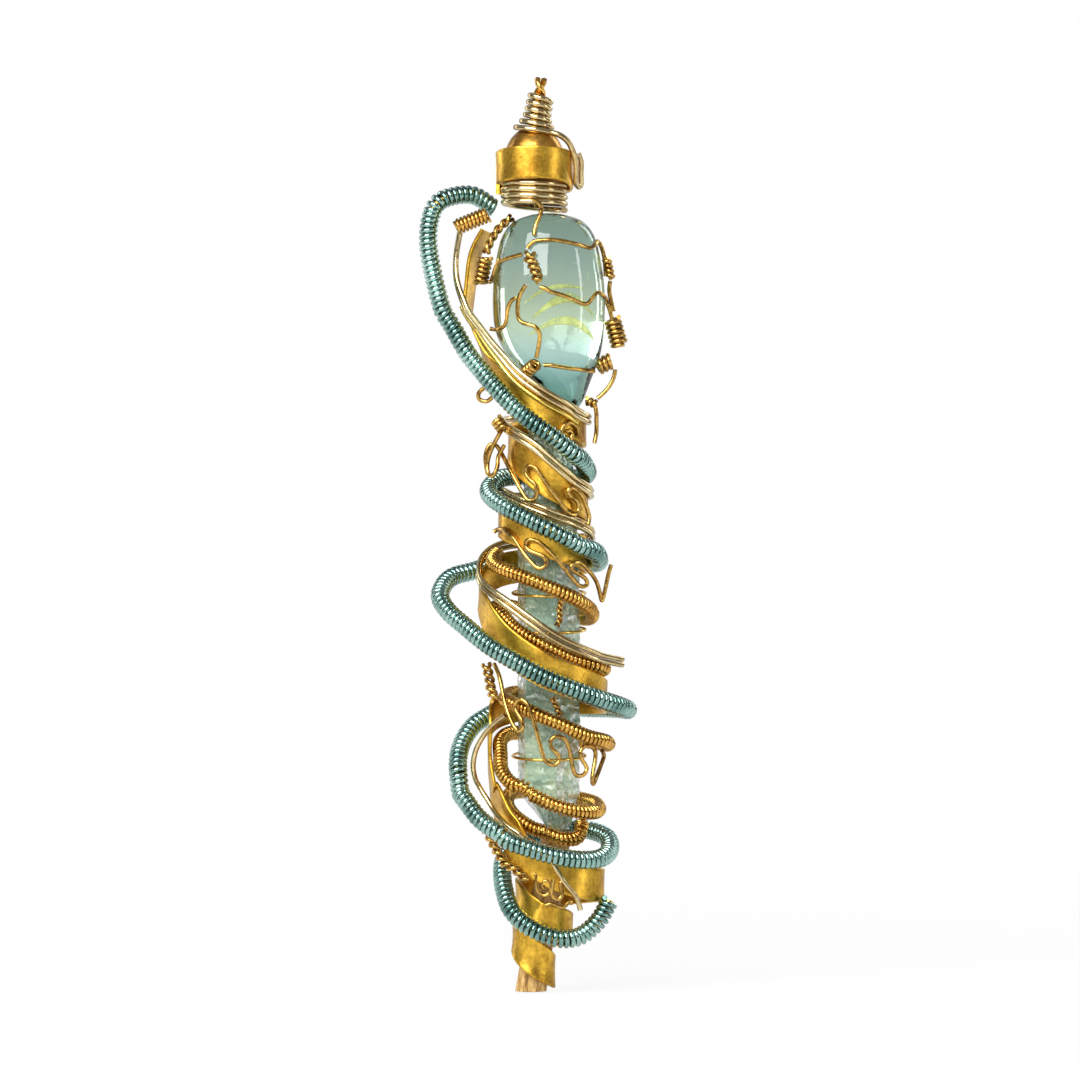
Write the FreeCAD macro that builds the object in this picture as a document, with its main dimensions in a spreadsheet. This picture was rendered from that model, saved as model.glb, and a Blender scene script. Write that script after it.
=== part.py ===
"""Wire-wrapped crystal wand, 138 mm long, as a parametric FreeCAD document.

A glass stone in a wire net is the head. A rough crystal column is the grip, and a gilded stick is the
tail. Flat brass strip, coiled craft wire and plain round wire spiral down all three and hold them
together. The origin is the centre of the stick's cut end, +Z runs up to the tip of the finial, and the
side with the scrolls faces -Y. All lengths are millimetres.

Wires are drawn by stations. A station's level is its height: whole numbers are the landmarks in
`LANDMARKS`, and 2.5 is half way from landmark 2 to landmark 3, so that every wire follows the stones.
"""

import FreeCAD
import Part

import math
import os

from FreeCAD import Placement, Rotation, Vector

# ---------------------------------------------------------------------------------------------------
# Driving dimensions: one row of the sheet each.

SIZES = {
    "stick_radius": 2.4,
    "stick_length": 24.1,
    "stick_lean": 3.8,  # how far the stick's top stands to the right of its cut end
    "axis_offset": 2.7,  # from the stick's cut end to the axis of the column and the stone
    "point_offset": 1.5,  # from that axis to the column's broken lower point
    "point_radius": 1.7,
    "point_length": 5.6,
    "column_radius": 5.2,  # to the corners of the hexagon
    "shaft_length": 38.0,
    "taper_length": 18.4,
    "taper_radius": 3.3,
    "rest_gap": 0.3,  # between two stones that rest end to end
    "stone_radius": 8.5,
    "stone_depth": 7.2,  # half of the stone's thickness from front to back
    "stone_height": 30.7,
    "stone_belly": 15.9,  # height of the stone's widest part above its tip
    "bead_radius": 4.35,
    "bead_bore": 1.25,  # radius of the hole for the finial's twisted pair
    "bead_rise": 8.8,  # from the top of the stone to the centre of the bead
    "finial_rise": 11.5,  # from the centre of the bead to the tip
    "neck_offset": -2.2,  # from the axis of the stone to the axis of the neck
    "neck_radius": 5.6,  # to the middle of the flat strip round the bead
    "strip_width": 5.0,
    "strip_thickness": 0.6,
    "aqua_wire": 0.8,
    "aqua_core": 1.3,
    "gold_wire": 0.5,
    "gold_core": 1.3,
    "round_wire": 0.8,
    "neck_wire": 0.9,
    "net_wire": 0.65,
    "tie_wire": 0.45,
    "slip": 0.03,  # radial clearance of a coil on its core wire
    "lift": 0.05,  # clearance of a wire above what it lies on
}

doc = FreeCAD.newDocument("wire_wrapped_wand")
sheet = doc.addObject("Spreadsheet::Sheet", "sizes")
for row, (name, value) in enumerate(SIZES.items(), start=1):
    sheet.set(f"A{row}", name)
    sheet.set(f"B{row}", str(value))
    sheet.setAlias(f"B{row}", name)
doc.recompute()


def size(name):
    """A driving dimension, read back from the sheet."""
    return float(sheet.get(name))


def bind(item, **formulas):
    """Bind an object's properties to formulas of the sheet."""
    for prop, formula in formulas.items():
        item.setExpression(prop, formula)


# ---------------------------------------------------------------------------------------------------
# Landmarks up the wand: the height of each, and the radius there that a wire's stand-off counts from.

AXIS = size("axis_offset")
NECK_AXIS = AXIS + size("neck_offset")
POINT = size("stick_length") + size("rest_gap")
SHOULDER = POINT + size("point_length")
TAPER = SHOULDER + size("shaft_length")
COLUMN_TOP = TAPER + size("taper_length")
STONE_TIP = COLUMN_TOP + size("rest_gap")
STONE_BELLY = STONE_TIP + size("stone_belly")
STONE_TOP = STONE_TIP + size("stone_height")
BEAD = STONE_TOP + size("bead_rise")
TIP = BEAD + size("finial_rise")

LANDMARKS = [
    (0.0, size("stick_radius")),
    (POINT, size("column_radius")),
    (SHOULDER, size("column_radius")),
    (TAPER, size("column_radius")),
    (COLUMN_TOP, size("column_radius")),
    (STONE_BELLY, size("stone_radius")),
    (STONE_TOP, size("bead_radius")),
    (BEAD, size("bead_radius")),
    (TIP, size("bead_radius")),
]


def landmark_share(level):
    """The landmark below a level, and how far the level is on the way to the next one."""
    below = min(int(level), len(LANDMARKS) - 2)
    return below, level - below


def height(level):
    below, share = landmark_share(level)
    return LANDMARKS[below][0] * (1 - share) + LANDMARKS[below + 1][0] * share


def reach(level):
    below, share = landmark_share(level)
    return LANDMARKS[below][1] * (1 - share) + LANDMARKS[below + 1][1] * share


def polar(axis, radius, bearing, up):
    """A point round an upright axis: bearing 0 is the front (-Y), and 90 is the right (+X)."""
    angle = math.radians(bearing)
    return Vector(axis + radius * math.sin(angle), -radius * math.cos(angle), up)


def middle(up):
    """How far right of the origin the wand's middle stands at a height: its tail leans, as the stick does."""
    return AXIS * min(1.0, up / POINT)


def around(bearing, level, standoff):
    up = height(level)
    return polar(middle(up), reach(level) + standoff, bearing, up)


WINDING_STEPS = 3  # from one station of a wound wire to the next
STRIP_STEPS = 5
LAID_STEPS = 2


def smooth(stations, steps):
    """Stations joined by a Catmull-Rom curve, with so many steps from one station to the next."""
    padded = [stations[0], *stations, stations[-1]]
    curve = []
    for before, start, end, after in zip(padded, padded[1:], padded[2:], padded[3:]):
        for step in range(steps):
            t = step / steps
            row = []
            for a, b, c, d in zip(before, start, end, after):
                bow = (2 * a - 5 * b + 4 * c - d) * t**2
                twist = (3 * b - a - 3 * c + d) * t**3
                row.append(0.5 * (2 * b + (c - a) * t + bow + twist))
            curve.append(row)
    curve.append(list(stations[-1]))
    return curve


def wound(stations, steps=WINDING_STEPS):
    """The points of a wire that is wound round the axis through its stations."""
    return [around(*station) for station in smooth(stations, steps)]


# ---------------------------------------------------------------------------------------------------
# Wires and strip


def bend(before, corner, after):
    """The arc that rounds one corner of a route, with a start and an end on its two runs."""
    back = before - corner
    ahead = after - corner
    cut = 0.45 * min(back.Length, ahead.Length)
    back.normalize()
    ahead.normalize()
    half_angle = back.getAngle(ahead) / 2
    bisector = (back + ahead).normalize()
    radius = cut * math.tan(half_angle)
    middle = corner + bisector * (cut / math.cos(half_angle) - radius)
    return corner + back * cut, middle, corner + ahead * cut


def centre_line(points):
    """Straight runs joined by tangent arcs."""
    edges = []
    start = points[0]
    for before, corner, after in zip(points, points[1:], points[2:]):
        if (corner - before).getAngle(after - corner) < math.radians(0.5):
            continue
        arc_start, middle, arc_end = bend(before, corner, after)
        edges.append(Part.LineSegment(start, arc_start).toShape())
        edges.append(Part.Arc(arc_start, middle, arc_end).toShape())
        start = arc_end
    edges.append(Part.LineSegment(start, points[-1]).toShape())
    return Part.Wire(edges)


def swept(name, points, radius):
    """A round wire along a route, as a Part::Sweep whose circle is bound to the sheet."""
    line = doc.addObject("Part::Feature", name + "_line")
    line.Shape = centre_line(points)
    section = doc.addObject("Part::Circle", name + "_section")
    bind(section, Radius=radius)
    direction = points[1] - points[0]
    section.Placement = Placement(points[0], Rotation(Vector(0, 0, 1), direction))
    wire = doc.addObject("Part::Sweep", name)
    wire.Sections = [section]
    wire.Spine = (line, [f"Edge{number + 1}" for number in range(len(line.Shape.Edges))])
    wire.Solid = True
    return wire


def coil_on_core(metal, points):
    """A close-wound coil, drawn as the sleeve that its turns fill, and the core wire inside it."""
    core_radius = f"sizes.{metal}_core / 2"
    core = swept(f"{metal}_core_wire", points, core_radius)
    outside = swept(f"{metal}_coil_outside", points, f"{core_radius} + sizes.{metal}_wire")
    inside = swept(f"{metal}_coil_inside", points, f"{core_radius} + sizes.slip")
    sleeve = doc.addObject("Part::Cut", f"{metal}_coil")
    sleeve.Base = outside
    sleeve.Tool = inside
    return core, sleeve


def flat_strip(name, points, axis_at):
    """Flat strip wound round an axis with its face turned outward, as a closed shell of flats."""
    width = size("strip_width")
    thickness = size("strip_thickness")
    outward = [point - Vector(axis_at(point.z), 0, point.z) for point in points]
    corners = []
    for index, (point, out) in enumerate(zip(points, outward)):
        along = points[min(index + 1, len(points) - 1)] - points[max(index - 1, 0)]
        across = out.cross(along).normalize() * (width / 2)
        rise = along.cross(across).normalize() * (thickness / 2)
        corners.append([point + across + rise, point - across + rise,
                        point - across - rise, point + across - rise])
    triangles = []
    for end in (corners[0], corners[-1]):
        triangles.append((end[0], end[1], end[2]))
        triangles.append((end[0], end[2], end[3]))
    for here, there in zip(corners, corners[1:]):
        for side in range(4):
            turn = (side + 1) % 4
            triangles.append((here[side], here[turn], there[turn]))
            triangles.append((here[side], there[turn], there[side]))
    flats = [Part.Face(Part.makePolygon([a, b, c, a])) for a, b, c in triangles]
    solid = Part.makeSolid(Part.makeShell(flats))
    if solid.Volume < 0:
        solid.reverse()
    piece = doc.addObject("Part::Feature", name)
    piece.Shape = solid
    return piece


def beside(points, offset):
    """A route moved sideways over the surface that it is wound on."""
    moved = []
    for index, point in enumerate(points):
        along = points[min(index + 1, len(points) - 1)] - points[max(index - 1, 0)]
        across = (point - Vector(middle(point.z), 0, point.z)).cross(along).normalize()
        moved.append(point + across * offset)
    return moved


def even(points, pitch):
    """Points evenly spaced along a route."""
    line = Part.makePolygon(points)
    return line.discretize(max(3, round(line.Length / pitch)))


def helix(points, radius, pitch, phase=0.0, steps=10):
    """A helix round a route."""
    centres = even(points, pitch / steps)
    side = (centres[1] - centres[0]).cross(Vector(0.3, 1, 0.2)).normalize()
    turns = []
    for index, centre in enumerate(centres):
        along = centres[min(index + 1, len(centres) - 1)] - centres[max(index - 1, 0)]
        up = side.cross(along).normalize()
        side = along.cross(up).normalize()
        angle = 2 * math.pi * index / steps + phase
        turns.append(centre + side * (radius * math.cos(angle)) + up * (radius * math.sin(angle)))
    return turns


def twisted_pair(name, points, wire, pitch, spread=0.0):
    """Two strands of one wire twisted together, as one compound; spread opens the twist."""
    radius = size(wire) / 2 + size("lift") + spread
    strands = [
        swept(f"{name}_strand_{number}", helix(points, radius, pitch, number * math.pi), f"sizes.{wire} / 2")
        for number in range(2)
    ]
    pair = doc.addObject("Part::Compound", name)
    pair.Links = strands
    return pair


# ---------------------------------------------------------------------------------------------------
# The stones, the stick and the bead


def origin_plane(body, role="XY_Plane"):
    return next(item for item in body.Origin.OriginFeatures if item.Role == role)


def outline(body, name, rise=None, role="XY_Plane"):
    """A sketch on one of the body's own planes, raised by a formula of the sheet."""
    sketch = body.newObject("Sketcher::SketchObject", name)
    sketch.AttachmentSupport = [(origin_plane(body, role), "")]
    sketch.MapMode = "FlatFace"
    if rise:
        bind(sketch, **{"AttachmentOffset.Base.z": rise})
    return sketch


def hexagon(sketch, centre, radius, turn=12.0):
    corners = [polar(centre, radius, turn + 60 * number, 0) for number in range(6)]
    for corner, following in zip(corners, corners[1:] + corners[:1]):
        sketch.addGeometry(Part.LineSegment(corner, following), False)


def crystal_column():
    """A six-sided crystal: a broken point below, a long shaft, and a slimmer upper end."""
    body = doc.addObject("PartDesign::Body", "crystal_column")
    radius = size("column_radius")
    sections = [
        ("0 * sizes.point_length", size("point_offset"), size("point_radius")),
        ("sizes.point_length", 0.0, radius),
        ("sizes.point_length + sizes.shaft_length", 0.0, radius),
        ("sizes.point_length + sizes.shaft_length + sizes.taper_length", 0.0, size("taper_radius")),
    ]
    sketches = []
    for number, (rise, offset, section_radius) in enumerate(sections):
        sketch = outline(body, f"crystal_section_{number}", rise)
        hexagon(sketch, offset, section_radius)
        sketches.append(sketch)
    loft = body.newObject("PartDesign::AdditiveLoft", "crystal_loft")
    loft.Profile = sketches[0]
    loft.Sections = sketches[1:]
    loft.Ruled = True
    body.Placement.Base = Vector(AXIS, 0, POINT)
    return body


def tail_stick():
    """A round stick that leans to the right on its way up to the column."""
    body = doc.addObject("PartDesign::Body", "tail_stick")
    sketch = outline(body, "stick_section")
    sketch.addGeometry(Part.Circle(Vector(0, 0, 0), Vector(0, 0, 1), size("stick_radius")), False)
    bark = body.newObject("PartDesign::Pad", "stick_length")
    bark.Profile = sketch
    bark.UseCustomVector = True
    bark.Direction = Vector(size("stick_lean"), 0, size("stick_length"))
    bark.AlongSketchNormal = True
    bind(bark, Length="sizes.stick_length")
    return body


# Height, radius and sideways offset of the stone's sections, as shares of its own sizes.
STONE_SECTIONS = [
    (0.0, 0.10, 0.28), (0.04, 0.25, 0.26), (0.09, 0.40, 0.22), (0.19, 0.61, 0.15), (0.30, 0.83, 0.08),
    (0.43, 0.97, 0.01), (0.60, 1.0, 0.0), (0.76, 0.94, -0.01), (0.89, 0.82, -0.01), (0.96, 0.62, -0.01),
    (0.99, 0.35, -0.01), (1.0, 0.14, -0.01),
]


def head_stone():
    """A tumbled barrel of glass: blunt above, and drawn in to a tip that leans to the right below."""
    body = doc.addObject("PartDesign::Body", "head_stone")
    sketches = []
    for number, (rise, share, offset) in enumerate(STONE_SECTIONS):
        sketch = outline(body, f"stone_section_{number}", f"sizes.stone_height * {rise}")
        centre = Vector(offset * size("stone_radius"), 0, 0)
        right = centre + Vector(share * size("stone_radius"), 0, 0)
        back = centre + Vector(0, share * size("stone_depth"), 0)
        sketch.addGeometry(Part.Ellipse(right, back, centre), False)
        sketches.append(sketch)
    loft = body.newObject("PartDesign::AdditiveLoft", "stone_loft")
    loft.Profile = sketches[0]
    loft.Sections = sketches[1:]
    body.Placement.Base = Vector(AXIS, 0, STONE_TIP)
    return body


def top_bead():
    """A round bead, drilled through for the twisted pair that it sits on."""
    body = doc.addObject("PartDesign::Body", "top_bead")
    sketch = outline(body, "bead_profile", role="XZ_Plane")
    radius = size("bead_radius")
    bore = size("bead_bore")
    half = math.sqrt(radius**2 - bore**2)
    top = math.asin(half / radius)
    arc = Part.ArcOfCircle(Part.Circle(Vector(0, 0, 0), Vector(0, 0, 1), radius), -top, top)
    sketch.addGeometry(arc, False)
    sketch.addGeometry(Part.LineSegment(Vector(bore, half, 0), Vector(bore, -half, 0)), False)
    turned = body.newObject("PartDesign::Revolution", "bead_turned")
    turned.Profile = sketch
    turned.ReferenceAxis = (sketch, ["V_Axis"])
    turned.Angle = 360
    body.Placement.Base = Vector(NECK_AXIS, 0, BEAD)
    return body


column = crystal_column()
stick = tail_stick()
stone = head_stone()
bead = top_bead()
doc.recompute()
pieces = [stone, column, stick, bead]


# ---------------------------------------------------------------------------------------------------
# Wound wires. A station is (bearing, level, stand-off).

FLAT_STRIP = [
    (-108, 5.83, 4.8), (-106, 5.57, 5.6), (-104, 5.16, 4.6), (-99, 4.81, 3.4), (-86, 4.47, 2.0),
    (-50, 4.25, 0.5), (-10, 4.11, 0.2), (40, 3.97, 0.3), (90, 3.91, 0.2), (180, 3.86, 0.4),
    (270, 3.82, 0.7), (315, 3.68, 1.0), (360, 3.49, 1.0), (405, 3.36, 0.8), (450, 3.28, 0.5),
    (540, 3.22, 1.0), (630, 3.17, 2.2), (675, 3.10, 2.0), (720, 3.00, 1.7), (765, 2.96, 1.1),
    (810, 2.94, 0.6), (900, 2.91, 1.4), (960, 2.88, 3.4), (990, 2.80, 5.1), (1010, 2.71, 4.8),
    (1035, 2.60, 4.1), (1080, 2.48, 3.8), (1125, 2.42, 3.8), (1165, 2.38, 3.4), (1260, 2.36, 2.3),
    (1345, 2.29, 3.5), (1352, 2.13, 3.7), (1365, 1.82, 2.8), (1395, 0.98, 2.6), (1445, 0.77, 2.2),
    (1489, 0.68, 4.0), (1521, 0.66, 4.9), (1556, 0.64, 3.5), (1609, 0.61, 1.2), (1710, 0.59, -0.4),
    (1769, 0.51, -0.0), (1800, 0.46, 1.0), (1845, 0.42, 1.2), (1890, 0.38, 1.6), (1935, 0.37, 1.2),
    (1980, 0.38, 0.4), (2025, 0.39, 0.1), (2070, 0.36, 0.1), (2115, 0.29, 0.0), (2160, 0.21, 0.05),
    (2205, 0.15, 0.2), (2250, 0.12, 0.35),
]

AQUA_COIL = [
    (-107, 6.11, 4.4), (-97, 6.33, 7.4), (-90, 6.24, 11.7), (-90, 6.00, 13.3), (-89, 5.70, 12.6),
    (-88, 5.35, 10.3), (-84, 4.92, 7.0), (-77, 4.63, 5.5), (-67, 4.41, 4.0), (-47, 4.18, 3.0),
    (-22, 3.99, 3.0), (2, 3.86, 3.1), (25, 3.72, 3.0), (41, 3.66, 2.2), (70, 3.58, 0.9),
    (120, 3.52, 0.4), (180, 3.52, 1.6), (214, 3.53, 2.4), (246, 3.51, 2.9), (270, 3.43, 3.8),
    (290, 3.36, 4.0), (316, 3.27, 3.8), (341, 3.17, 3.6), (363, 3.08, 4.0), (385, 2.99, 3.9),
    (410, 2.96, 3.5), (441, 2.93, 2.4), (478, 2.91, 2.7), (522, 2.91, 3.2), (557, 2.91, 4.0),
    (586, 2.91, 5.5), (604, 2.88, 7.4), (620, 2.85, 10.0), (636, 2.78, 11.3), (646, 2.72, 10.5),
    (658, 2.66, 8.9), (674, 2.59, 7.5), (693, 2.53, 6.5), (714, 2.47, 6.1), (737, 2.42, 6.3),
    (758, 2.38, 6.6), (779, 2.35, 7.0), (799, 2.33, 6.9), (818, 2.33, 5.8), (843, 2.33, 4.9),
    (876, 2.33, 4.5), (912, 2.34, 4.2), (942, 2.33, 4.5), (963, 2.30, 5.1), (977, 2.26, 6.6),
    (988, 2.19, 8.0), (997, 2.12, 8.6), (1004, 2.04, 8.7), (1013, 1.77, 8.2), (1024, 1.32, 7.2),
    (1040, 0.99, 6.0), (1061, 0.91, 5.1), (1084, 0.86, 4.8), (1108, 0.83, 4.9), (1132, 0.83, 5.2),
    (1153, 0.87, 5.0), (1173, 0.94, 4.1), (1196, 0.98, 2.6), (1227, 1.00, 0.9), (1264, 0.97, 0.5),
    (1300, 0.91, 1.0), (1330, 0.83, 1.7), (1356, 0.74, 1.9), (1378, 0.63, 2.3), (1398, 0.52, 2.8),
    (1422, 0.43, 3.1), (1447, 0.37, 3.5), (1471, 0.34, 4.3), (1491, 0.36, 5.2), (1502, 0.45, 6.5),
    (1508, 0.57, 7.1),
]

GOLD_COIL = [
    (-101, 2.95, 2.80), (-81, 2.92, 3.33), (-56, 2.89, 3.35), (-31, 2.86, 2.75), (-2, 2.82, 2.25),
    (26, 2.78, 2.15), (54, 2.74, 1.85), (83, 2.71, 1.35), (116, 2.69, 1.35), (157, 2.70, 1.55),
    (201, 2.72, 2.55), (236, 2.74, 3.05), (266, 2.73, 3.05), (292, 2.72, 2.95), (320, 2.65, 2.45),
    (354, 2.59, 2.25), (385, 2.54, 2.49), (418, 2.50, 4.14), (447, 2.48, 2.26), (488, 2.43, 1.16),
    (538, 2.40, 0.69), (606, 2.39, 1.08), (639, 2.37, 1.45), (674, 2.35, 1.65), (702, 2.32, 2.15),
    (730, 2.28, 2.75), (759, 2.23, 3.55), (780, 2.21, 4.15), (794, 2.20, 3.95), (813, 2.19, 3.55),
    (850, 2.20, 2.05), (897, 2.22, 1.85), (932, 2.23, 1.95), (960, 2.23, 1.85), (988, 2.20, 2.15),
    (1007, 2.15, 2.43), (1023, 2.09, 3.25), (1039, 2.04, 3.25), (1059, 2.00, 2.55), (1082, 1.75, 2.35),
    (1106, 1.57, 2.65), (1131, 1.50, 2.95), (1153, 1.55, 2.65), (1177, 1.68, 1.95), (1214, 1.79, 1.35),
    (1257, 1.89, 1.35), (1291, 1.98, 1.35), (1320, 1.96, 1.25), (1350, 1.75, 1.19), (1374, 1.50, 1.11),
    (1397, 1.27, 1.08), (1421, 1.05, 0.95), (1448, 0.97, 0.95), (1473, 0.95, 1.15), (1494, 0.98, 0.65),
    (1514, 1.14, -0.15),
]

UPPER_PAIR = [
    (-82, 5.80, 8.3), (-83, 5.57, 7.9), (-81, 5.33, 6.9), (-75, 5.09, 5.0), (-70, 4.89, 3.3),
    (-64, 4.73, 2.2), (-55, 4.59, 1.2), (-42, 4.46, 0.7), (-24, 4.35, 0.6), (-6, 4.26, 0.6),
    (13, 4.18, 0.7), (33, 4.11, 0.8), (50, 4.05, 0.9), (90, 4.02, 0.9), (180, 4.01, 1.1),
    (240, 4.01, 1.4), (270, 3.99, 1.7), (305, 3.92, 1.8), (337, 3.82, 1.8), (362, 3.69, 1.8),
    (393, 3.52, 1.8), (420, 3.45, 1.6), (450, 3.41, 1.3), (540, 3.38, 1.9), (600, 3.38, 2.3),
    (640, 3.42, 1.9), (690, 3.32, 1.2), (720, 3.25, 1.2), (750, 3.19, 1.2), (790, 3.11, 1.4),
    (815, 3.06, 1.5), (900, 3.02, 2.2), (960, 2.99, 3.3), (985, 2.94, 4.9), (1003, 2.87, 5.6),
    (1020, 2.82, 5.4), (1043, 2.76, 4.7), (1066, 2.69, 4.4), (1095, 2.61, 4.4), (1125, 2.555, 5.2),
    (1138, 2.54, 5.8), (1150, 2.53, 6.6),
]

LOWER_WIRE = [
    (-50, 2.31, 3.4), (-70, 2.25, 4.6), (-78, 2.18, 5.9), (-80, 2.11, 6.4), (-80, 2.05, 6.0),
    (-76, 1.96, 4.9), (-66, 1.57, 4.0), (-50, 1.27, 3.9), (-33, 1.00, 3.7), (-14, 0.93, 2.9),
    (3, 0.85, 2.7), (13, 0.77, 3.2), (24, 0.68, 4.0), (35, 0.60, 4.9), (41, 0.52, 5.3),
]

BRIGHT_WIRE_STATIONS = slice(3, 13)

ribbon = flat_strip("flat_strip", wound(FLAT_STRIP, STRIP_STEPS), middle)

aqua_core, aqua_coil = coil_on_core("aqua", wound(AQUA_COIL))
gold_core, gold_coil = coil_on_core("gold", wound(GOLD_COIL))

pair_pitch = size("round_wire") + size("lift")
first_strand = swept("champagne_wire_first", wound(UPPER_PAIR), "sizes.round_wire / 2")
second_strand = swept("champagne_wire_second", beside(wound(UPPER_PAIR), -pair_pitch), "sizes.round_wire / 2")
bright_wire = swept(
    "bright_wire", beside(wound(UPPER_PAIR[BRIGHT_WIRE_STATIONS]), -2 * pair_pitch), "sizes.round_wire / 2"
)
lower_wire = swept("lower_wire", wound(LOWER_WIRE), "sizes.round_wire / 2")
pieces += [ribbon, aqua_core, aqua_coil, gold_core, gold_coil]
pieces += [first_strand, second_strand, bright_wire, lower_wire]


# ---------------------------------------------------------------------------------------------------
# The neck and the finial

# The strip round the bead: its bearing, and how far its middle is below the centre of the bead.
NECK_STRIP = [
    (-80, 2.0), (-40, 1.5), (0, 1.3), (45, 1.6), (90, 2.5), (135, 3.3), (180, 3.6), (225, 3.4), (262, 3.3),
]
NECK_TURNS = 4.2
NECK_START = 70  # degrees
NECK_STEP = 30  # degrees
NECK_TILT = 0.35  # the neck coil is this much lower on the right than in the middle
POST_FOOT = 1.2  # the post starts this far above the stone
POST_PITCH = 4.2
# Height from the tip, and how far right the post leans there.
POST_LEAN = [(-7.2, 0.0), (-4.6, 0.6), (0.0, 1.0)]
CONE_RADII = [3.2, 2.55, 2.1, 1.8, 1.7, 1.7, 1.65, 1.6]  # one for each 290 degrees or so of the cone
CONE_START = 40  # degrees
CONE_SEAT = 3.6  # from the centre of the bead up to the lowest turn of the cone
CONE_STEP = 32  # degrees
CONE_STEPS = 9  # from one radius of the cone to the next
CONE_RISE = 0.086  # climb of the cone at each step
CONE_LEAN = 0.016
CONE_TILT = 0.3
BINDING_RADIUS = 1.05
BINDING_PITCH = 0.6

# The free tail of the cone's wire, from its end up to the cone: right of the neck, depth, above the bead.
HOOK = [
    (6.6, -0.9, 0.2), (7.1, -0.6, -1.0), (7.0, -0.2, -2.6), (7.1, 0.3, -4.2), (6.8, 0.2, -4.9),
    (6.3, -0.5, -4.4), (6.3, -1.2, -3.2), (6.35, -1.6, -1.6), (6.1, -1.9, -0.2), (5.2, -2.4, 1.9),
    (3.9, -2.7, 2.9),
]


def neck_strip():
    """One turn of flat strip round the bead, which drops on its way round the back."""
    points = [
        polar(NECK_AXIS, size("neck_radius"), bearing, BEAD - drop)
        for bearing, drop in smooth(NECK_STRIP, LAID_STEPS)
    ]
    return flat_strip("neck_strip", points, lambda up: NECK_AXIS)


def neck_coil():
    """Round wire wound round the neck, inside the foot of the strip."""
    pitch = size("neck_wire") + size("lift")
    bottom = STONE_TOP + NECK_TILT + size("neck_wire") / 2
    radius = size("neck_radius") - size("strip_thickness") / 2 - size("lift") - size("neck_wire") / 2
    points = []
    for step in range(round(NECK_TURNS * 360 / NECK_STEP)):
        bearing = NECK_START + NECK_STEP * step
        up = bottom + pitch * step * NECK_STEP / 360 - NECK_TILT * math.sin(math.radians(bearing))
        points.append(polar(NECK_AXIS, radius, bearing, up))
    return swept("neck_coil", points, "sizes.neck_wire / 2")


def finial_post():
    """The twisted pair that runs up through the bead and ends as the tip of the wand."""
    route = [Vector(NECK_AXIS, 0, STONE_TOP + POST_FOOT)]
    route += [Vector(NECK_AXIS + lean, 0, TIP + rise) for rise, lean in POST_LEAN]
    return twisted_pair("finial_post", route, "neck_wire", POST_PITCH)


def finial_wire():
    """A loose cone of wire round the post, whose tail hooks down over the right of the bead."""
    points = [Vector(NECK_AXIS + right, depth, BEAD + rise) for right, depth, rise in HOOK]
    turns = smooth([[radius] for radius in CONE_RADII], CONE_STEPS)
    for step, (radius,) in enumerate(turns):
        bearing = CONE_START - CONE_STEP * step
        up = BEAD + CONE_SEAT + CONE_RISE * step - CONE_TILT * math.sin(math.radians(bearing))
        points.append(polar(NECK_AXIS + CONE_LEAN * step, radius, bearing, up))
    return swept("finial_wire", points, "sizes.neck_wire / 2")


def binding_coil():
    """Thin wire that binds the ends of the round pair under the start of the blue coil."""
    axis = [around(-74, 5.98, 5.2), around(-80, 5.85, 9.2)]
    return swept("binding_coil", helix(axis, BINDING_RADIUS, BINDING_PITCH), "sizes.gold_wire / 2")


pieces += [neck_strip(), neck_coil(), finial_post(), finial_wire(), binding_coil()]


# ---------------------------------------------------------------------------------------------------
# The net on the stone. A point is (share of the stone's radius to the right, level).


LEAST_EDGE = 0.3  # how far in front of the axis a wire passes the stone's edges


def on_stone(points, radius, least=LEAST_EDGE):
    """A route laid on the front of the stone, or beside it at its edges."""
    side = max(stone.Shape.Faces, key=lambda face: face.Area)
    laid = []
    for share, level in smooth(points, LAID_STEPS):
        spot = Vector(AXIS + share * size("stone_radius"), 0, height(level))
        ray = Part.LineSegment(spot - Vector(0, 2 * size("stone_depth"), 0), spot).toShape()
        hits = [vertex.Point for vertex in ray.common(stone.Shape).Vertexes]
        if hits:
            hit = min(hits, key=lambda point: point.y)
            spot = hit + side.normalAt(*side.Surface.parameter(hit)) * (radius + size("lift"))
        laid.append(Vector(spot.x, min(spot.y, -least), spot.z))
    return laid


def over(points, standoff):
    """A route laid over the windings in front of the column: (share of its radius, level)."""
    reached = size("column_radius") + standoff
    laid = []
    for share, level in smooth(points, LAID_STEPS):
        across = share * size("column_radius")
        depth = math.sqrt(max(reached**2 - across**2, 4.0))
        laid.append(Vector(AXIS + across, -depth, height(level)))
    return laid


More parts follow.
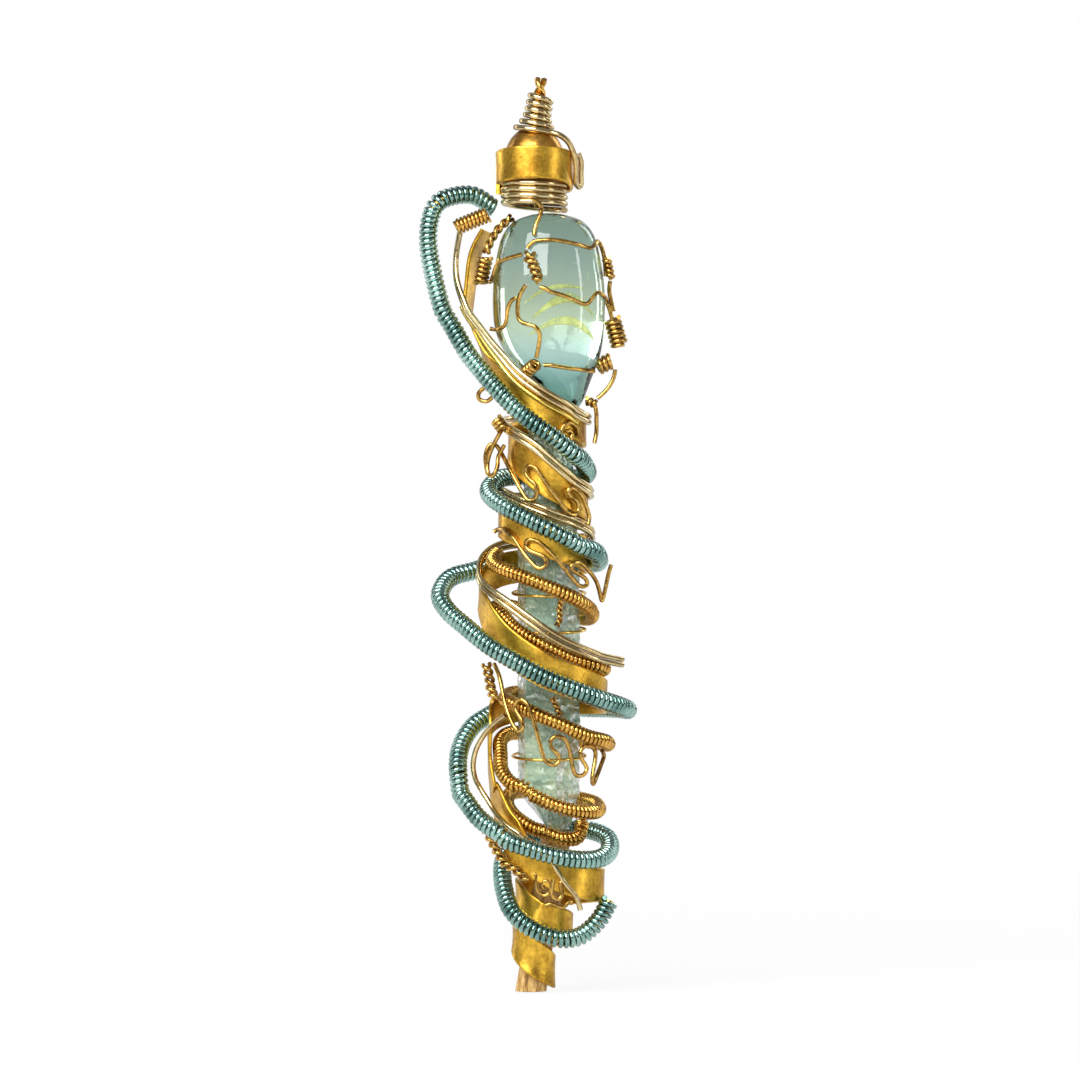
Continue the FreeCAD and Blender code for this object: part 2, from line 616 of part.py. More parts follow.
NET_WIRES = {
    "net_top_wire": [
        (-0.29, 6.21), (-0.18, 6.15), (-0.13, 6.06), (-0.14, 5.97), (-0.17, 5.91), (-0.23, 5.84),
        (-0.25, 5.75),
    ],
    "net_shoulder_right": [
        (-0.37, 5.62), (-0.28, 5.68), (-0.14, 5.70), (0.15, 5.70), (0.50, 5.66), (0.70, 5.63),
        (0.78, 5.67), (0.86, 5.72), (0.94, 5.65), (0.99, 5.53), (1.01, 5.36),
    ],
    "net_shoulder_left": [
        (-0.46, 5.56), (-0.66, 5.53), (-0.85, 5.49), (-0.92, 5.41), (-0.97, 5.32), (-1.07, 5.30),
    ],
    "net_middle_wire": [
        (-0.15, 5.23), (-0.05, 5.21), (0.03, 5.18), (0.27, 5.14), (0.50, 5.08), (0.62, 5.06), (0.70, 5.09),
        (0.81, 5.18), (0.91, 5.16), (1.03, 5.09), (1.10, 4.98), (1.13, 4.90),
    ],
    "net_inner_left": [
        (-0.39, 5.25), (-0.49, 5.16), (-0.53, 5.06), (-0.53, 4.96), (-0.49, 4.90), (-0.37, 4.87),
        (-0.24, 4.85), (-0.16, 4.79), (-0.16, 4.72), (-0.19, 4.62), (-0.21, 4.57),
    ],
    "net_outer_left": [
        (-0.56, 5.12), (-0.63, 5.10), (-0.70, 5.02), (-0.72, 4.92), (-0.77, 4.85), (-0.90, 4.83),
        (-1.05, 4.84),
    ],
    "net_lower_wire": [(-0.08, 4.50), (0.03, 4.50), (0.38, 4.47), (0.76, 4.45)],
    "net_right_wire": [(1.09, 5.31), (1.07, 5.22), (1.10, 5.12), (1.15, 5.00)],
    "net_right_loop": [
        (1.18, 4.46), (1.15, 4.38), (1.07, 4.30), (0.97, 4.24), (0.86, 4.19),
    ],
}

# The top wire hooks over the neck coil, so it stands this far in front of the axis there.
LEAST_FRONT = {"net_top_wire": size("neck_radius") + 0.1}

# Each knot is a short spring: (radius of its turns, the two ends of its axis).
KNOTS = {
    "net_knot_lower": (0.75, [(-0.20, 4.53), (-0.42, 4.42)]),
    "net_knot_right": (1.12, [(1.12, 4.93), (1.26, 4.68)]),
    "net_knot_corner": (1.05, [(0.86, 4.48), (1.10, 4.54)]),
    "net_knot_left": (0.95, [(-1.13, 5.55), (-1.22, 5.28)]),
    "net_knot_shoulder": (0.45, [(1.02, 5.55), (1.10, 5.34)]),
    "net_knot_foot": (0.45, [(0.66, 4.17), (0.82, 4.14)]),
}

for name, route in NET_WIRES.items():
    least = LEAST_FRONT.get(name, LEAST_EDGE)
    pieces.append(swept(name, on_stone(route, size("net_wire") / 2, least), "sizes.net_wire / 2"))

for name, (turn_radius, axis) in KNOTS.items():
    centres = on_stone(axis, turn_radius + size("net_wire") / 2)
    knot = helix([centres[0], centres[-1]], turn_radius, size("net_wire") + size("lift"))
    pieces.append(swept(name, knot, "sizes.net_wire / 2"))

TWIST_SPREAD = 0.25
UPPER_TWIST = [(-0.30, 5.57), (-0.31, 5.50), (-0.24, 5.43), (-0.20, 5.34), (-0.16, 5.28)]
UPPER_TWIST_PITCH = 1.9
LEFT_ROPE = [(-0.66, 5.96), (-0.90, 5.84), (-1.05, 5.70), (-1.11, 5.60)]
LEFT_ROPE_PITCH = 2.6

twist_radius = size("net_wire") + size("lift") + TWIST_SPREAD
upper_twist = on_stone(UPPER_TWIST, twist_radius)
pieces.append(twisted_pair("net_twist_upper", upper_twist, "net_wire", UPPER_TWIST_PITCH, TWIST_SPREAD))
left_rope = on_stone(LEFT_ROPE, twist_radius)
pieces.append(twisted_pair("net_twist_left", left_rope, "net_wire", LEFT_ROPE_PITCH))

# Thin wires beside the column: (bearing, level, stand-off).
SIDE_WIRES = {
    "net_drop_wire": [(85, 4.15, 1.2), (84, 4.04, 1.9), (86, 3.90, 2.0), (84, 3.80, 1.7)],
    "net_loop_left": [
        (-76, 4.33, 2.9), (-79, 4.29, 3.7), (-81, 4.24, 4.7), (-82, 4.18, 4.8), (-80, 4.16, 3.8),
        (-76, 4.20, 2.9),
    ],
    "waist_loop": [
        (-62, 3.90, 2.9), (-72, 3.76, 3.8), (-76, 3.65, 4.3), (-74, 3.55, 4.3), (-68, 3.53, 3.9),
        (-66, 3.60, 3.3), (-68, 3.69, 3.0), (-62, 3.78, 2.4),
    ],
}
for name, stations in SIDE_WIRES.items():
    pieces.append(swept(name, wound(stations), "sizes.net_wire / 2"))


# ---------------------------------------------------------------------------------------------------
# Scrolls and ties on the column. A point is (share of the column's radius to the right, level).

SCROLLS = {
    "scroll_waist": (2.05, [
        (-1.77, 3.54), (-1.85, 3.68), (-1.73, 3.78), (-1.52, 3.78), (-1.29, 3.67), (-0.96, 3.49),
        (-0.70, 3.36), (-0.58, 3.33), (-0.40, 3.34), (-0.35, 3.40), (-0.40, 3.46), (-0.56, 3.50),
        (-0.69, 3.56), (-0.60, 3.61), (-0.37, 3.59), (-0.04, 3.45), (0.31, 3.32), (0.54, 3.23),
        (0.75, 3.21), (0.87, 3.26), (0.81, 3.32), (0.62, 3.36), (0.55, 3.40), (0.63, 3.43),
        (0.80, 3.41), (0.97, 3.36), (1.06, 3.29), (1.17, 3.20), (1.13, 3.13),
    ]),
    "scroll_upper": (2.75, [
        (-1.60, 3.07), (-1.40, 3.10), (-1.13, 3.05), (-0.83, 2.97), (-0.48, 2.91), (-0.27, 2.89),
        (-0.08, 2.905), (-0.12, 2.935), (-0.37, 2.95), (-0.60, 2.965), (-0.68, 2.985), (-0.58, 3.01),
        (-0.37, 3.00), (-0.15, 2.98), (0.17, 2.937), (0.63, 2.858), (0.90, 2.82), (1.10, 2.825),
        (1.06, 2.85), (0.83, 2.87), (0.64, 2.888), (0.70, 2.91), (0.90, 2.915), (1.13, 2.885),
        (1.37, 2.84), (1.48, 2.79), (1.54, 2.76), (1.62, 2.80), (1.73, 2.87), (1.81, 2.905),
    ]),
    "scroll_lower": (3.30, [
        (-1.58, 2.51), (-1.42, 2.46), (-1.29, 2.37), (-1.10, 2.29), (-0.90, 2.25), (-0.75, 2.263),
        (-0.79, 2.295), (-0.94, 2.326), (-0.98, 2.355), (-0.83, 2.376), (-0.63, 2.358), (-0.48, 2.31),
        (-0.33, 2.237), (-0.19, 2.163), (-0.08, 2.129), (0.15, 2.116), (0.31, 2.134), (0.25, 2.16),
        (0.10, 2.18), (0.04, 2.208), (0.17, 2.229), (0.40, 2.224), (0.54, 2.20), (0.62, 2.158),
        (0.69, 2.103), (0.79, 2.074), (1.00, 2.076), (1.10, 2.103), (0.96, 2.134), (0.90, 2.163),
        (1.00, 2.187), (1.21, 2.19), (1.35, 2.163), (1.31, 2.113), (1.25, 2.063), (1.28, 2.037),
        (1.38, 2.068), (1.52, 2.116), (1.60, 2.147), (1.54, 2.168),
    ]),
}

LOOSE_ENDS = {
    "band_ring": (0.95, [
        (0.86, 3.86), (0.82, 3.92), (0.66, 3.96), (0.48, 3.95), (0.36, 3.90), (0.42, 3.84), (0.60, 3.82),
        (0.68, 3.87), (0.58, 3.90), (0.50, 3.885),
    ]),
    "tail_ring": (1.75, [
        (-0.78, 0.72), (-0.60, 0.75), (-0.38, 0.735), (-0.36, 0.69), (-0.30, 0.63), (-0.12, 0.605),
        (0.02, 0.63), (0.02, 0.68), (-0.10, 0.70), (-0.19, 0.675), (-0.13, 0.65),
    ]),
    "tail_hook": (2.5, [
        (0.12, 0.71), (0.08, 0.65), (0.12, 0.60), (0.28, 0.585), (0.38, 0.62), (0.32, 0.68), (0.42, 0.71),
    ]),
    "tail_bar": (1.2, [(-0.10, 0.545), (0.10, 0.555), (0.40, 0.53), (0.60, 0.57), (0.68, 0.55)]),
}

for name, (standoff, route) in [*SCROLLS.items(), *LOOSE_ENDS.items()]:
    pieces.append(swept(name, over(route, standoff), "sizes.net_wire / 2"))

# Short springs and twists on the column: a point is (bearing, level, stand-off).
WAIST_KNOT = [(-66, 3.99, 3.5), (-55, 3.90, 3.0)]
WAIST_KNOT_RADIUS = 0.75
knot_axis = [around(*station) for station in WAIST_KNOT]
knot_turns = helix(knot_axis, WAIST_KNOT_RADIUS, size("net_wire") + size("lift"))
pieces.append(swept("waist_knot", knot_turns, "sizes.net_wire / 2"))

# Each twist: (wire, pitch, its stations, spread).
TWISTS = {
    "tail_twist": ("net_wire", 2.4, [
        (-72, 1.02, 4.8), (-59, 0.88, 4.0), (-48, 0.81, 4.0), (-32, 0.76, 3.5), (-19, 0.70, 3.2),
    ], 0.1),
    "lower_twist": ("net_wire", 2.2, [
        (-79, 2.51, 4.4), (-78, 2.46, 4.0), (-74, 2.41, 3.9), (-68, 2.37, 3.6),
    ], 0.15),
    "tie_upper": ("tie_wire", 1.6, [
        (19, 2.774, 0.6), (16, 2.73, 0.6), (17, 2.69, 0.6), (12, 2.665, 0.6),
    ], 0.0),
    "tie_lower": ("tie_wire", 1.6, [(5, 2.376, 0.6), (12, 2.342, 0.6), (18, 2.31, 0.6)], 0.0),
}
for name, (wire, pitch, stations, spread) in TWISTS.items():
    route = [around(*station) for station in stations]
    pieces.append(twisted_pair(name, route, wire, pitch, spread))

RING_LEVELS = [2.792, 2.647, 2.145]
RING_TILT = 5.0  # degrees, lower in front


def column_rings():
    """Three rings of thin wire tied round the column, as one group."""
    rings = []
    for number, level in enumerate(RING_LEVELS):
        ring = doc.addObject("Part::Torus", f"column_ring_{number}")
        bind(ring, Radius2="sizes.tie_wire / 2")
        bind(ring, Radius1="sizes.column_radius + sizes.lift + sizes.tie_wire / 2")
        ring.Placement = Placement(Vector(AXIS, 0, height(level)), Rotation(Vector(1, 0, 0), RING_TILT))
        rings.append(ring)
    group = doc.addObject("Part::Compound", "column_rings")
    group.Links = rings
    return group


pieces.append(column_rings())

# ---------------------------------------------------------------------------------------------------
# Check every object, then write one STEP file for each piece.

doc.recompute()

for item in doc.Objects:
    if "Invalid" in item.State or "Error" in item.State:
        raise RuntimeError(f"{item.Name} failed: {item.State}")

os.makedirs("parts", exist_ok=True)
for piece in pieces:
    shape = piece.Shape
    if shape.isNull() or not shape.isValid():
        raise RuntimeError(f"{piece.Label} has no valid shape")
    shape.exportStep(f"parts/{piece.Label}.step")
    print(f"{piece.Label}: {len(shape.Solids)} solid(s), {shape.Volume:.1f} mm3")
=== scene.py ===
# %% [markdown]
# # A wire-wrapped crystal wand
#
# The wand is a glass stone, a rough crystal and a gilded stick, held end to end by wire. Every wire and
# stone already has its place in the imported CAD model, which is loaded here as a fixed frame. The steps
# below give each piece its finish, and rebuild the pieces whose surface the plain CAD solid can't show.

# %% Load the frame
import math

import bmesh
import bpy
import numpy as np
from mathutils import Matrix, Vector, noise


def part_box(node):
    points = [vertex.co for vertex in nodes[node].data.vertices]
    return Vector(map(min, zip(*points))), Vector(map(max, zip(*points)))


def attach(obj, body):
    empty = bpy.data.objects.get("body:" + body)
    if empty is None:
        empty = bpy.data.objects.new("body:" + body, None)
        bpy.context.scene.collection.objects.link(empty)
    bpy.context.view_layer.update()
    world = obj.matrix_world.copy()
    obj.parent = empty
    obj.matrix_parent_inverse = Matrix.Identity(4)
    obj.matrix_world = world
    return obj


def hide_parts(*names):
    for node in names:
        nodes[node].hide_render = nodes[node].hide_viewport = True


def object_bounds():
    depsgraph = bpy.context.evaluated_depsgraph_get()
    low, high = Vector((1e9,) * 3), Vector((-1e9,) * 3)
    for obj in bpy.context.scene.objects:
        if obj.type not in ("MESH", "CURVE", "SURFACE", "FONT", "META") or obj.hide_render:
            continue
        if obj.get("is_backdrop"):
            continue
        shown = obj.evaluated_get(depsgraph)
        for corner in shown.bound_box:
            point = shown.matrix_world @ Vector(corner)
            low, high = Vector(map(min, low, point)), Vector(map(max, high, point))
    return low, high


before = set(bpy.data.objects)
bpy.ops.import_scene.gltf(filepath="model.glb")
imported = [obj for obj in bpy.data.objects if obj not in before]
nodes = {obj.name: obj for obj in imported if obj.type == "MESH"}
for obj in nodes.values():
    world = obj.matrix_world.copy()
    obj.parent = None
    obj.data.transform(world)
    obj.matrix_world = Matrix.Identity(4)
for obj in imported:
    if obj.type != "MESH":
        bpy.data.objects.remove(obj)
cad_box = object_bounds()
MM = 0.001
print("nodes:", len(nodes), "box in mm:", [[round(value / MM, 1) for value in corner] for corner in cad_box])

# %% [markdown]
# ## The camera
#
# The wand is seen square-on from the front, from far enough away that the tip and the tail are seen
# level. A long lens keeps the perspective flat, so the camera stands almost a metre off and its lens is
# chosen so that the view is 163 mm high.

# %% Place the camera
LENS = 200.0
SENSOR = 36.0
VIEW_HEIGHT = 163.1 * MM
VIEW_CENTRE = Vector((1.36 * MM, 0.0, 68.1 * MM))

lens = bpy.data.cameras.new("camera")
lens.lens = LENS
lens.sensor_width = SENSOR
lens.clip_start = 0.01
camera = bpy.data.objects.new("camera", lens)
camera.location = VIEW_CENTRE - Vector((0.0, VIEW_HEIGHT * LENS / SENSOR, 0.0))
camera.rotation_euler = (math.pi / 2, 0.0, 0.0)
bpy.context.scene.collection.objects.link(camera)
bpy.context.scene.camera = camera
print("camera stands", round(-camera.location.y, 3), "m in front")

# %% [markdown]
# ## Landmarks
#
# Every wire follows the stones, so its route is written as stations: a bearing round the wand, a level
# up it, and a stand-off from what it is wound on. Whole levels are landmarks such as the top of the
# column. Their heights are read from the boxes of the CAD nodes, so a route here and its CAD wire agree.

# %% Measure the landmarks
POINT_LENGTH = 5.6 * MM
TAPER_LENGTH = 18.4 * MM
STONE_BELLY = 15.9 * MM
FINIAL_RISE = 11.5 * MM

stick_low, stick_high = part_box("tail_stick")
column_low, column_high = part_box("crystal_column")
stone_low, stone_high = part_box("head_stone")
bead_low, bead_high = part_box("top_bead")

STICK_RADIUS = (stick_high.y - stick_low.y) / 2
COLUMN_RADIUS = 5.2 * MM
STONE_RADIUS = (stone_high.x - stone_low.x) / 2
BEAD_RADIUS = (bead_high.x - bead_low.x) / 2
AXIS = (column_low.x + column_high.x) / 2
NECK_AXIS = (bead_low.x + bead_high.x) / 2
BEAD_HEIGHT = (bead_low.z + bead_high.z) / 2

LEVELS = range(9)
HEIGHTS = [
    stick_low.z, column_low.z, column_low.z + POINT_LENGTH, column_high.z - TAPER_LENGTH, column_high.z,
    stone_low.z + STONE_BELLY, stone_high.z, BEAD_HEIGHT, BEAD_HEIGHT + FINIAL_RISE,
]
REACHES = [STICK_RADIUS] + [COLUMN_RADIUS] * 4 + [STONE_RADIUS] + [BEAD_RADIUS] * 3
print("landmarks in mm:", [round(value / MM, 1) for value in HEIGHTS])


# %% [markdown]
# ## Routes
#
# A Catmull-Rom curve passes through all of its stations, which suits a wire that was bent by hand: it
# goes exactly where it was put, and eases from one place to the next. Each station is then turned into
# a point in space round the wand's axis.

# %% Turn stations into points
def smooth(stations, steps):
    """Rows of a Catmull-Rom curve through the stations, with so many steps between two of them."""
    given = np.array([stations[0], *stations, stations[-1]], float)
    share = np.arange(steps)[:, None] / steps
    rows = []
    for before, start, end, after in zip(given, given[1:], given[2:], given[3:]):
        slope = (end - before) * share
        bow = (2 * before - 5 * start + 4 * end - after) * share**2
        twist = (3 * start - before - 3 * end + after) * share**3
        rows.append(0.5 * (2 * start + slope + bow + twist))
    rows.append(given[-1:])
    return np.concatenate(rows)


def middle(up):
    """How far right of the origin the wand's middle stands at each height; the tail leans with its stick."""
    return AXIS * np.minimum(1.0, up / column_low.z)


def around(rows):
    """Points in metres from rows of bearing (0 is the front, 90 the right), level and stand-off in mm."""
    bearing, level, standoff = rows.T
    angle = np.radians(bearing)
    radius = np.interp(level, LEVELS, REACHES) + standoff * MM
    up = np.interp(level, LEVELS, HEIGHTS)
    return np.stack([middle(up) + radius * np.sin(angle), -radius * np.cos(angle), up], axis=1)


def travelled(points):
    """The distance gone along a route at each of its points."""
    return np.concatenate([[0.0], np.cumsum(np.linalg.norm(np.diff(points, axis=0), axis=1))])


def even(points, pitch):
    """Points evenly spaced along a route, one pitch apart."""
    gone = travelled(points)
    places = np.linspace(0.0, gone[-1], max(3, round(gone[-1] / pitch)))
    return np.stack([np.interp(places, gone, points[:, axis]) for axis in range(3)], axis=1)


def unit(rows):
    return rows / np.linalg.norm(rows, axis=-1, keepdims=True)


print("a test station:", around(np.array([[0.0, 2.5, 1.0]])).round(4))


# %% [markdown]
# ## Skins
#
# A wire is a row of small rings joined by faces. To stop the rings from spinning, each one takes its
# sideways direction from the ring before and only tips it to the new heading. The UV map runs along the
# wire in one direction and round it in the other, so that a finish can be drawn along the metal.

# %% Build tubes and other skins
def carried(points):
    """Heading, sideways and upward directions at each point, carried along without any spin."""
    headings = unit(np.gradient(points, axis=0))
    side = np.cross(headings[0], (0.3, 1.0, 0.2))
    sides = []
    for heading in headings:
        side = side - heading * side.dot(heading)
        side = side / np.linalg.norm(side)
        sides.append(side)
    sides = np.array(sides)
    return headings, sides, np.cross(headings, sides)


def skin(name, rings, rounded=True):
    """A closed mesh over rings of points, with UV in millimetres along and round it."""
    count, sides = rings.shape[:2]
    here = np.arange(count - 1)[:, None] * sides + np.arange(sides)[None, :]
    turned = np.arange(count - 1)[:, None] * sides + (np.arange(sides)[None, :] + 1) % sides
    quads = np.stack([here, turned, turned + sides, here + sides], axis=-1).reshape(-1, 4)
    caps = [list(range(sides))[::-1], list(range((count - 1) * sides, count * sides))]
    mesh = bpy.data.meshes.new(name)
    mesh.from_pydata(rings.reshape(-1, 3).tolist(), [], quads.tolist() + caps)
    along = travelled(rings.mean(axis=1)) / MM
    across = travelled(np.concatenate([rings[0], rings[0][:1]])) / MM
    map_u = np.stack([along[:-1], along[:-1], along[1:], along[1:]], axis=-1)
    map_v = np.stack([across[:-1], across[1:], across[1:], across[:-1]], axis=-1)
    uv = np.zeros((len(mesh.loops), 2))
    uv[: quads.size, 0] = np.repeat(map_u[:, None, :], sides, axis=1).reshape(-1)
    uv[: quads.size, 1] = np.repeat(map_v[None, :, :], count - 1, axis=0).reshape(-1)
    mesh.uv_layers.new(name="UVMap").data.foreach_set("uv", uv.ravel())
    mesh.polygons.foreach_set("use_smooth", [rounded] * len(quads) + [False, False])
    piece = bpy.data.objects.new(name, mesh)
    bpy.context.scene.collection.objects.link(piece)
    print(name, "spans", np.round(np.ptp(rings, axis=(0, 1)) / MM, 2), "mm")
    return piece


def tube_rings(points, radius, sides):
    """Rings of a round wire along a route; the radius may change from point to point."""
    headings, side, up = carried(points)
    angle = np.linspace(0, 2 * np.pi, sides, endpoint=False)
    reach = np.broadcast_to(np.asarray(radius, float), (len(points),))[:, None, None]
    spokes = side[:, None] * np.cos(angle)[None, :, None] + up[:, None] * np.sin(angle)[None, :, None]
    return points[:, None] + spokes * reach


def finish_piece(piece, finish, slot, *stands_for):
    """Give a piece its material and its body, and hide the CAD nodes that it stands for; the slot is not
    used.
    """
    piece.data.materials.append(finish)
    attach(piece, "root")
    if stands_for:
        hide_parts(*stands_for)
    print(piece.name, "has", len(piece.data.polygons), "faces")


print("tube test:", tube_rings(around(smooth([(0, 1, 0), (90, 2, 0)], 4)), 0.4 * MM, 8).shape)

# %% [markdown]
# ## Shared effects for the metals
#
# All of the metals are handled, drawn or hammered, so they share three effects, each built once as a
# node group. Patina moves between a bright and a deep colour in soft patches and small specks. Draw
# marks are the fine streaks left along drawn wire and rolled strip, which need the UV map. Grain is the
# small unevenness that breaks up a highlight.


# %% Build the node groups
def colour(red, green, blue):
    """A shader colour from the red, green and blue of 0 to 255 that it shows on screen."""
    linear = []
    for value in (red, green, blue):
        share = value / 255
        linear.append(share / 12.92 if share <= 0.04045 else ((share + 0.055) / 1.055) ** 2.4)
    return (*linear, 1.0)


def new_group(name, inputs, outputs):
    """An empty shader node group with named sockets, and its two end nodes."""
    group = bpy.data.node_groups.new(name, "ShaderNodeTree")
    for label, kind, value in inputs:
        socket = group.interface.new_socket(label, in_out="INPUT", socket_type=kind)
        socket.default_value = value
    for label, kind in outputs:
        group.interface.new_socket(label, in_out="OUTPUT", socket_type=kind)
    return group, group.nodes.new("NodeGroupInput"), group.nodes.new("NodeGroupOutput")


def add(tree, kind, **values):
    """A node in a tree; a value sets the input or the property of that name."""
    node = tree.nodes.new("ShaderNode" + kind)
    for label, value in values.items():
        label = label.replace("_", " ")
        if label in node.inputs:
            node.inputs[label].default_value = value
        else:
            setattr(node, label.replace(" ", "_"), value)
    return node


def join(tree, start, end):
    tree.links.new(start, end)


def build_patina():
    group, given, result = new_group(
        "Patina",
        [("Bright", "NodeSocketColor", colour(220, 180, 90)),
         ("Deep", "NodeSocketColor", colour(120, 80, 20)),
         ("Patch Scale", "NodeSocketFloat", 180.0), ("Speck Scale", "NodeSocketFloat", 1800.0),
         ("Amount", "NodeSocketFloat", 0.6)],
        [("Color", "NodeSocketColor"), ("Mask", "NodeSocketFloat")],
    )
    place = add(group, "TexCoord")
    patches = add(group, "TexNoise", Detail=4.0, Roughness=0.6)
    specks = add(group, "TexNoise", Detail=2.0, Roughness=0.7)
    join(group, place.outputs["Object"], patches.inputs["Vector"])
    join(group, place.outputs["Object"], specks.inputs["Vector"])
    join(group, given.outputs["Patch Scale"], patches.inputs["Scale"])
    join(group, given.outputs["Speck Scale"], specks.inputs["Scale"])
    both = add(group, "Math", operation="MULTIPLY_ADD")
    both.inputs[1].default_value = 0.4
    join(group, specks.outputs["Fac"], both.inputs[0])
    join(group, patches.outputs["Fac"], both.inputs[2])
    spread = add(group, "MapRange", From_Min=0.48, From_Max=0.88)
    join(group, both.outputs[0], spread.inputs["Value"])
    limit = add(group, "Math", operation="MULTIPLY")
    join(group, spread.outputs[0], limit.inputs[0])
    join(group, given.outputs["Amount"], limit.inputs[1])
    mix = add(group, "Mix", data_type="RGBA")
    join(group, limit.outputs[0], mix.inputs["Factor"])
    join(group, given.outputs["Bright"], mix.inputs[6])
    join(group, given.outputs["Deep"], mix.inputs[7])
    join(group, mix.outputs[2], result.inputs["Color"])
    join(group, limit.outputs[0], result.inputs["Mask"])
    return group


def build_draw_marks():
    group, given, result = new_group(
        "Draw Marks",
        [("Along", "NodeSocketFloat", 0.15), ("Across", "NodeSocketFloat", 6.0),
         ("Smooth", "NodeSocketFloat", 0.2), ("Rough", "NodeSocketFloat", 0.4)],
        [("Roughness", "NodeSocketFloat"), ("Height", "NodeSocketFloat")],
    )
    place = add(group, "TexCoord")
    split = add(group, "SeparateXYZ")
    join(group, place.outputs["UV"], split.inputs[0])
    along = add(group, "Math", operation="MULTIPLY")
    across = add(group, "Math", operation="MULTIPLY")
    join(group, split.outputs["X"], along.inputs[0])
    join(group, given.outputs["Along"], along.inputs[1])
    join(group, split.outputs["Y"], across.inputs[0])
    join(group, given.outputs["Across"], across.inputs[1])
    stretched = add(group, "CombineXYZ")
    join(group, along.outputs[0], stretched.inputs["X"])
    join(group, across.outputs[0], stretched.inputs["Y"])
    streaks = add(group, "TexNoise", Scale=1.0, Detail=5.0, Roughness=0.65)
    join(group, stretched.outputs[0], streaks.inputs["Vector"])
    spread = add(group, "MapRange", From_Min=0.3, From_Max=0.7)
    join(group, streaks.outputs["Fac"], spread.inputs["Value"])
    join(group, given.outputs["Smooth"], spread.inputs["To Min"])
    join(group, given.outputs["Rough"], spread.inputs["To Max"])
    join(group, spread.outputs[0], result.inputs["Roughness"])
    join(group, streaks.outputs["Fac"], result.inputs["Height"])
    return group


def build_grain():
    group, given, result = new_group(
        "Grain",
        [("Scale", "NodeSocketFloat", 2500.0), ("Smooth", "NodeSocketFloat", 0.2),
         ("Rough", "NodeSocketFloat", 0.35)],
        [("Roughness", "NodeSocketFloat"), ("Height", "NodeSocketFloat")],
    )
    place = add(group, "TexCoord")
    grains = add(group, "TexNoise", Detail=6.0, Roughness=0.6)
    join(group, place.outputs["Object"], grains.inputs["Vector"])
    join(group, given.outputs["Scale"], grains.inputs["Scale"])
    spread = add(group, "MapRange", From_Min=0.35, From_Max=0.65)
    join(group, grains.outputs["Fac"], spread.inputs["Value"])
    join(group, given.outputs["Smooth"], spread.inputs["To Min"])
    join(group, given.outputs["Rough"], spread.inputs["To Max"])
    join(group, spread.outputs[0], result.inputs["Roughness"])
    join(group, grains.outputs["Fac"], result.inputs["Height"])
    return group


PATINA = build_patina()
DRAW_MARKS = build_draw_marks()
GRAIN = build_grain()
print("node groups:", [group.name for group in (PATINA, DRAW_MARKS, GRAIN)])

# %% [markdown]
# ## The metal finishes
#
# Brass craft wire is warm yellow with brown in its low places, the pale wire is nearly silver, and the
# anodised wire is a blue-green film over bright metal. One helper makes them all: patina colours the
# metal, draw marks or grain set its gloss, and a small bump lets the highlight break up. The anodised
# wire also has a clear coat, because its film is glassy and keeps the highlight white.


# %% Make the metals
def use_group(tree, group, **values):
    node = tree.nodes.new("ShaderNodeGroup")
    node.node_tree = group
    for label, value in values.items():
        node.inputs[label.replace("_", " ")].default_value = value
    return node


def new_material(name):
    material = bpy.data.materials.new(name)
    material.use_nodes = True
    return material, material.node_tree, material.node_tree.nodes["Principled BSDF"]


def metal(name, bright, deep, marks, bump, coat=0.0, **patina):
    """A metal whose gloss comes from the draw marks or the grain that it is given."""
    material, tree, shader = new_material(name)
    shader.inputs["Metallic"].default_value = 1.0
    shader.inputs["Coat Weight"].default_value = coat
    stain = use_group(tree, PATINA, Bright=bright, Deep=deep, **patina)
    group, values = marks
    surface = use_group(tree, group, **values)
    height = add(tree, "Bump", Strength=bump, Distance=0.00005)
    join(tree, stain.outputs["Color"], shader.inputs["Base Color"])
    join(tree, surface.outputs["Roughness"], shader.inputs["Roughness"])
    join(tree, surface.outputs["Height"], height.inputs["Height"])
    join(tree, height.outputs["Normal"], shader.inputs["Normal"])
    return material


def grainy(scale, smooth_gloss, rough_gloss):
    return GRAIN, {"Scale": scale, "Smooth": smooth_gloss, "Rough": rough_gloss}


def drawn(along, across, smooth_gloss, rough_gloss):
    return DRAW_MARKS, {"Along": along, "Across": across, "Smooth": smooth_gloss, "Rough": rough_gloss}


aqua_wire = metal(
    "aqua_wire", colour(170, 206, 196), colour(48, 100, 92), drawn(0.5, 4.0, 0.1, 0.22), 0.12,
    coat=0.7, Patch_Scale=150.0, Amount=0.9,
)
gold_wire = metal(
    "gold_wire", colour(238, 190, 98), colour(138, 92, 28), grainy(1500.0, 0.12, 0.24), 0.15,
    Patch_Scale=260.0, Amount=0.8,
)
net_wire = metal(
    "net_wire", colour(236, 192, 104), colour(108, 72, 26), grainy(2200.0, 0.14, 0.3), 0.2,
    Patch_Scale=420.0, Amount=0.9,
)
champagne_wire = metal(
    "champagne_wire", colour(232, 214, 164), colour(146, 110, 56), grainy(1500.0, 0.14, 0.26), 0.12,
    Patch_Scale=140.0, Amount=0.75,
)
bright_gold = metal(
    "bright_gold", colour(238, 206, 104), colour(164, 120, 36), grainy(1500.0, 0.14, 0.26), 0.12,
    Patch_Scale=200.0, Amount=0.7,
)
brushed_strip = metal(
    "brushed_strip", colour(252, 202, 76), colour(136, 92, 24), drawn(0.9, 9.0, 0.24, 0.42), 0.5,
    Patch_Scale=220.0, Amount=0.85,
)
bead_bronze = metal(
    "bead_bronze", colour(210, 158, 70), colour(104, 66, 20), grainy(900.0, 0.25, 0.5), 0.5,
    Patch_Scale=300.0, Amount=0.9,
)
print("metals:", len(bpy.data.materials))

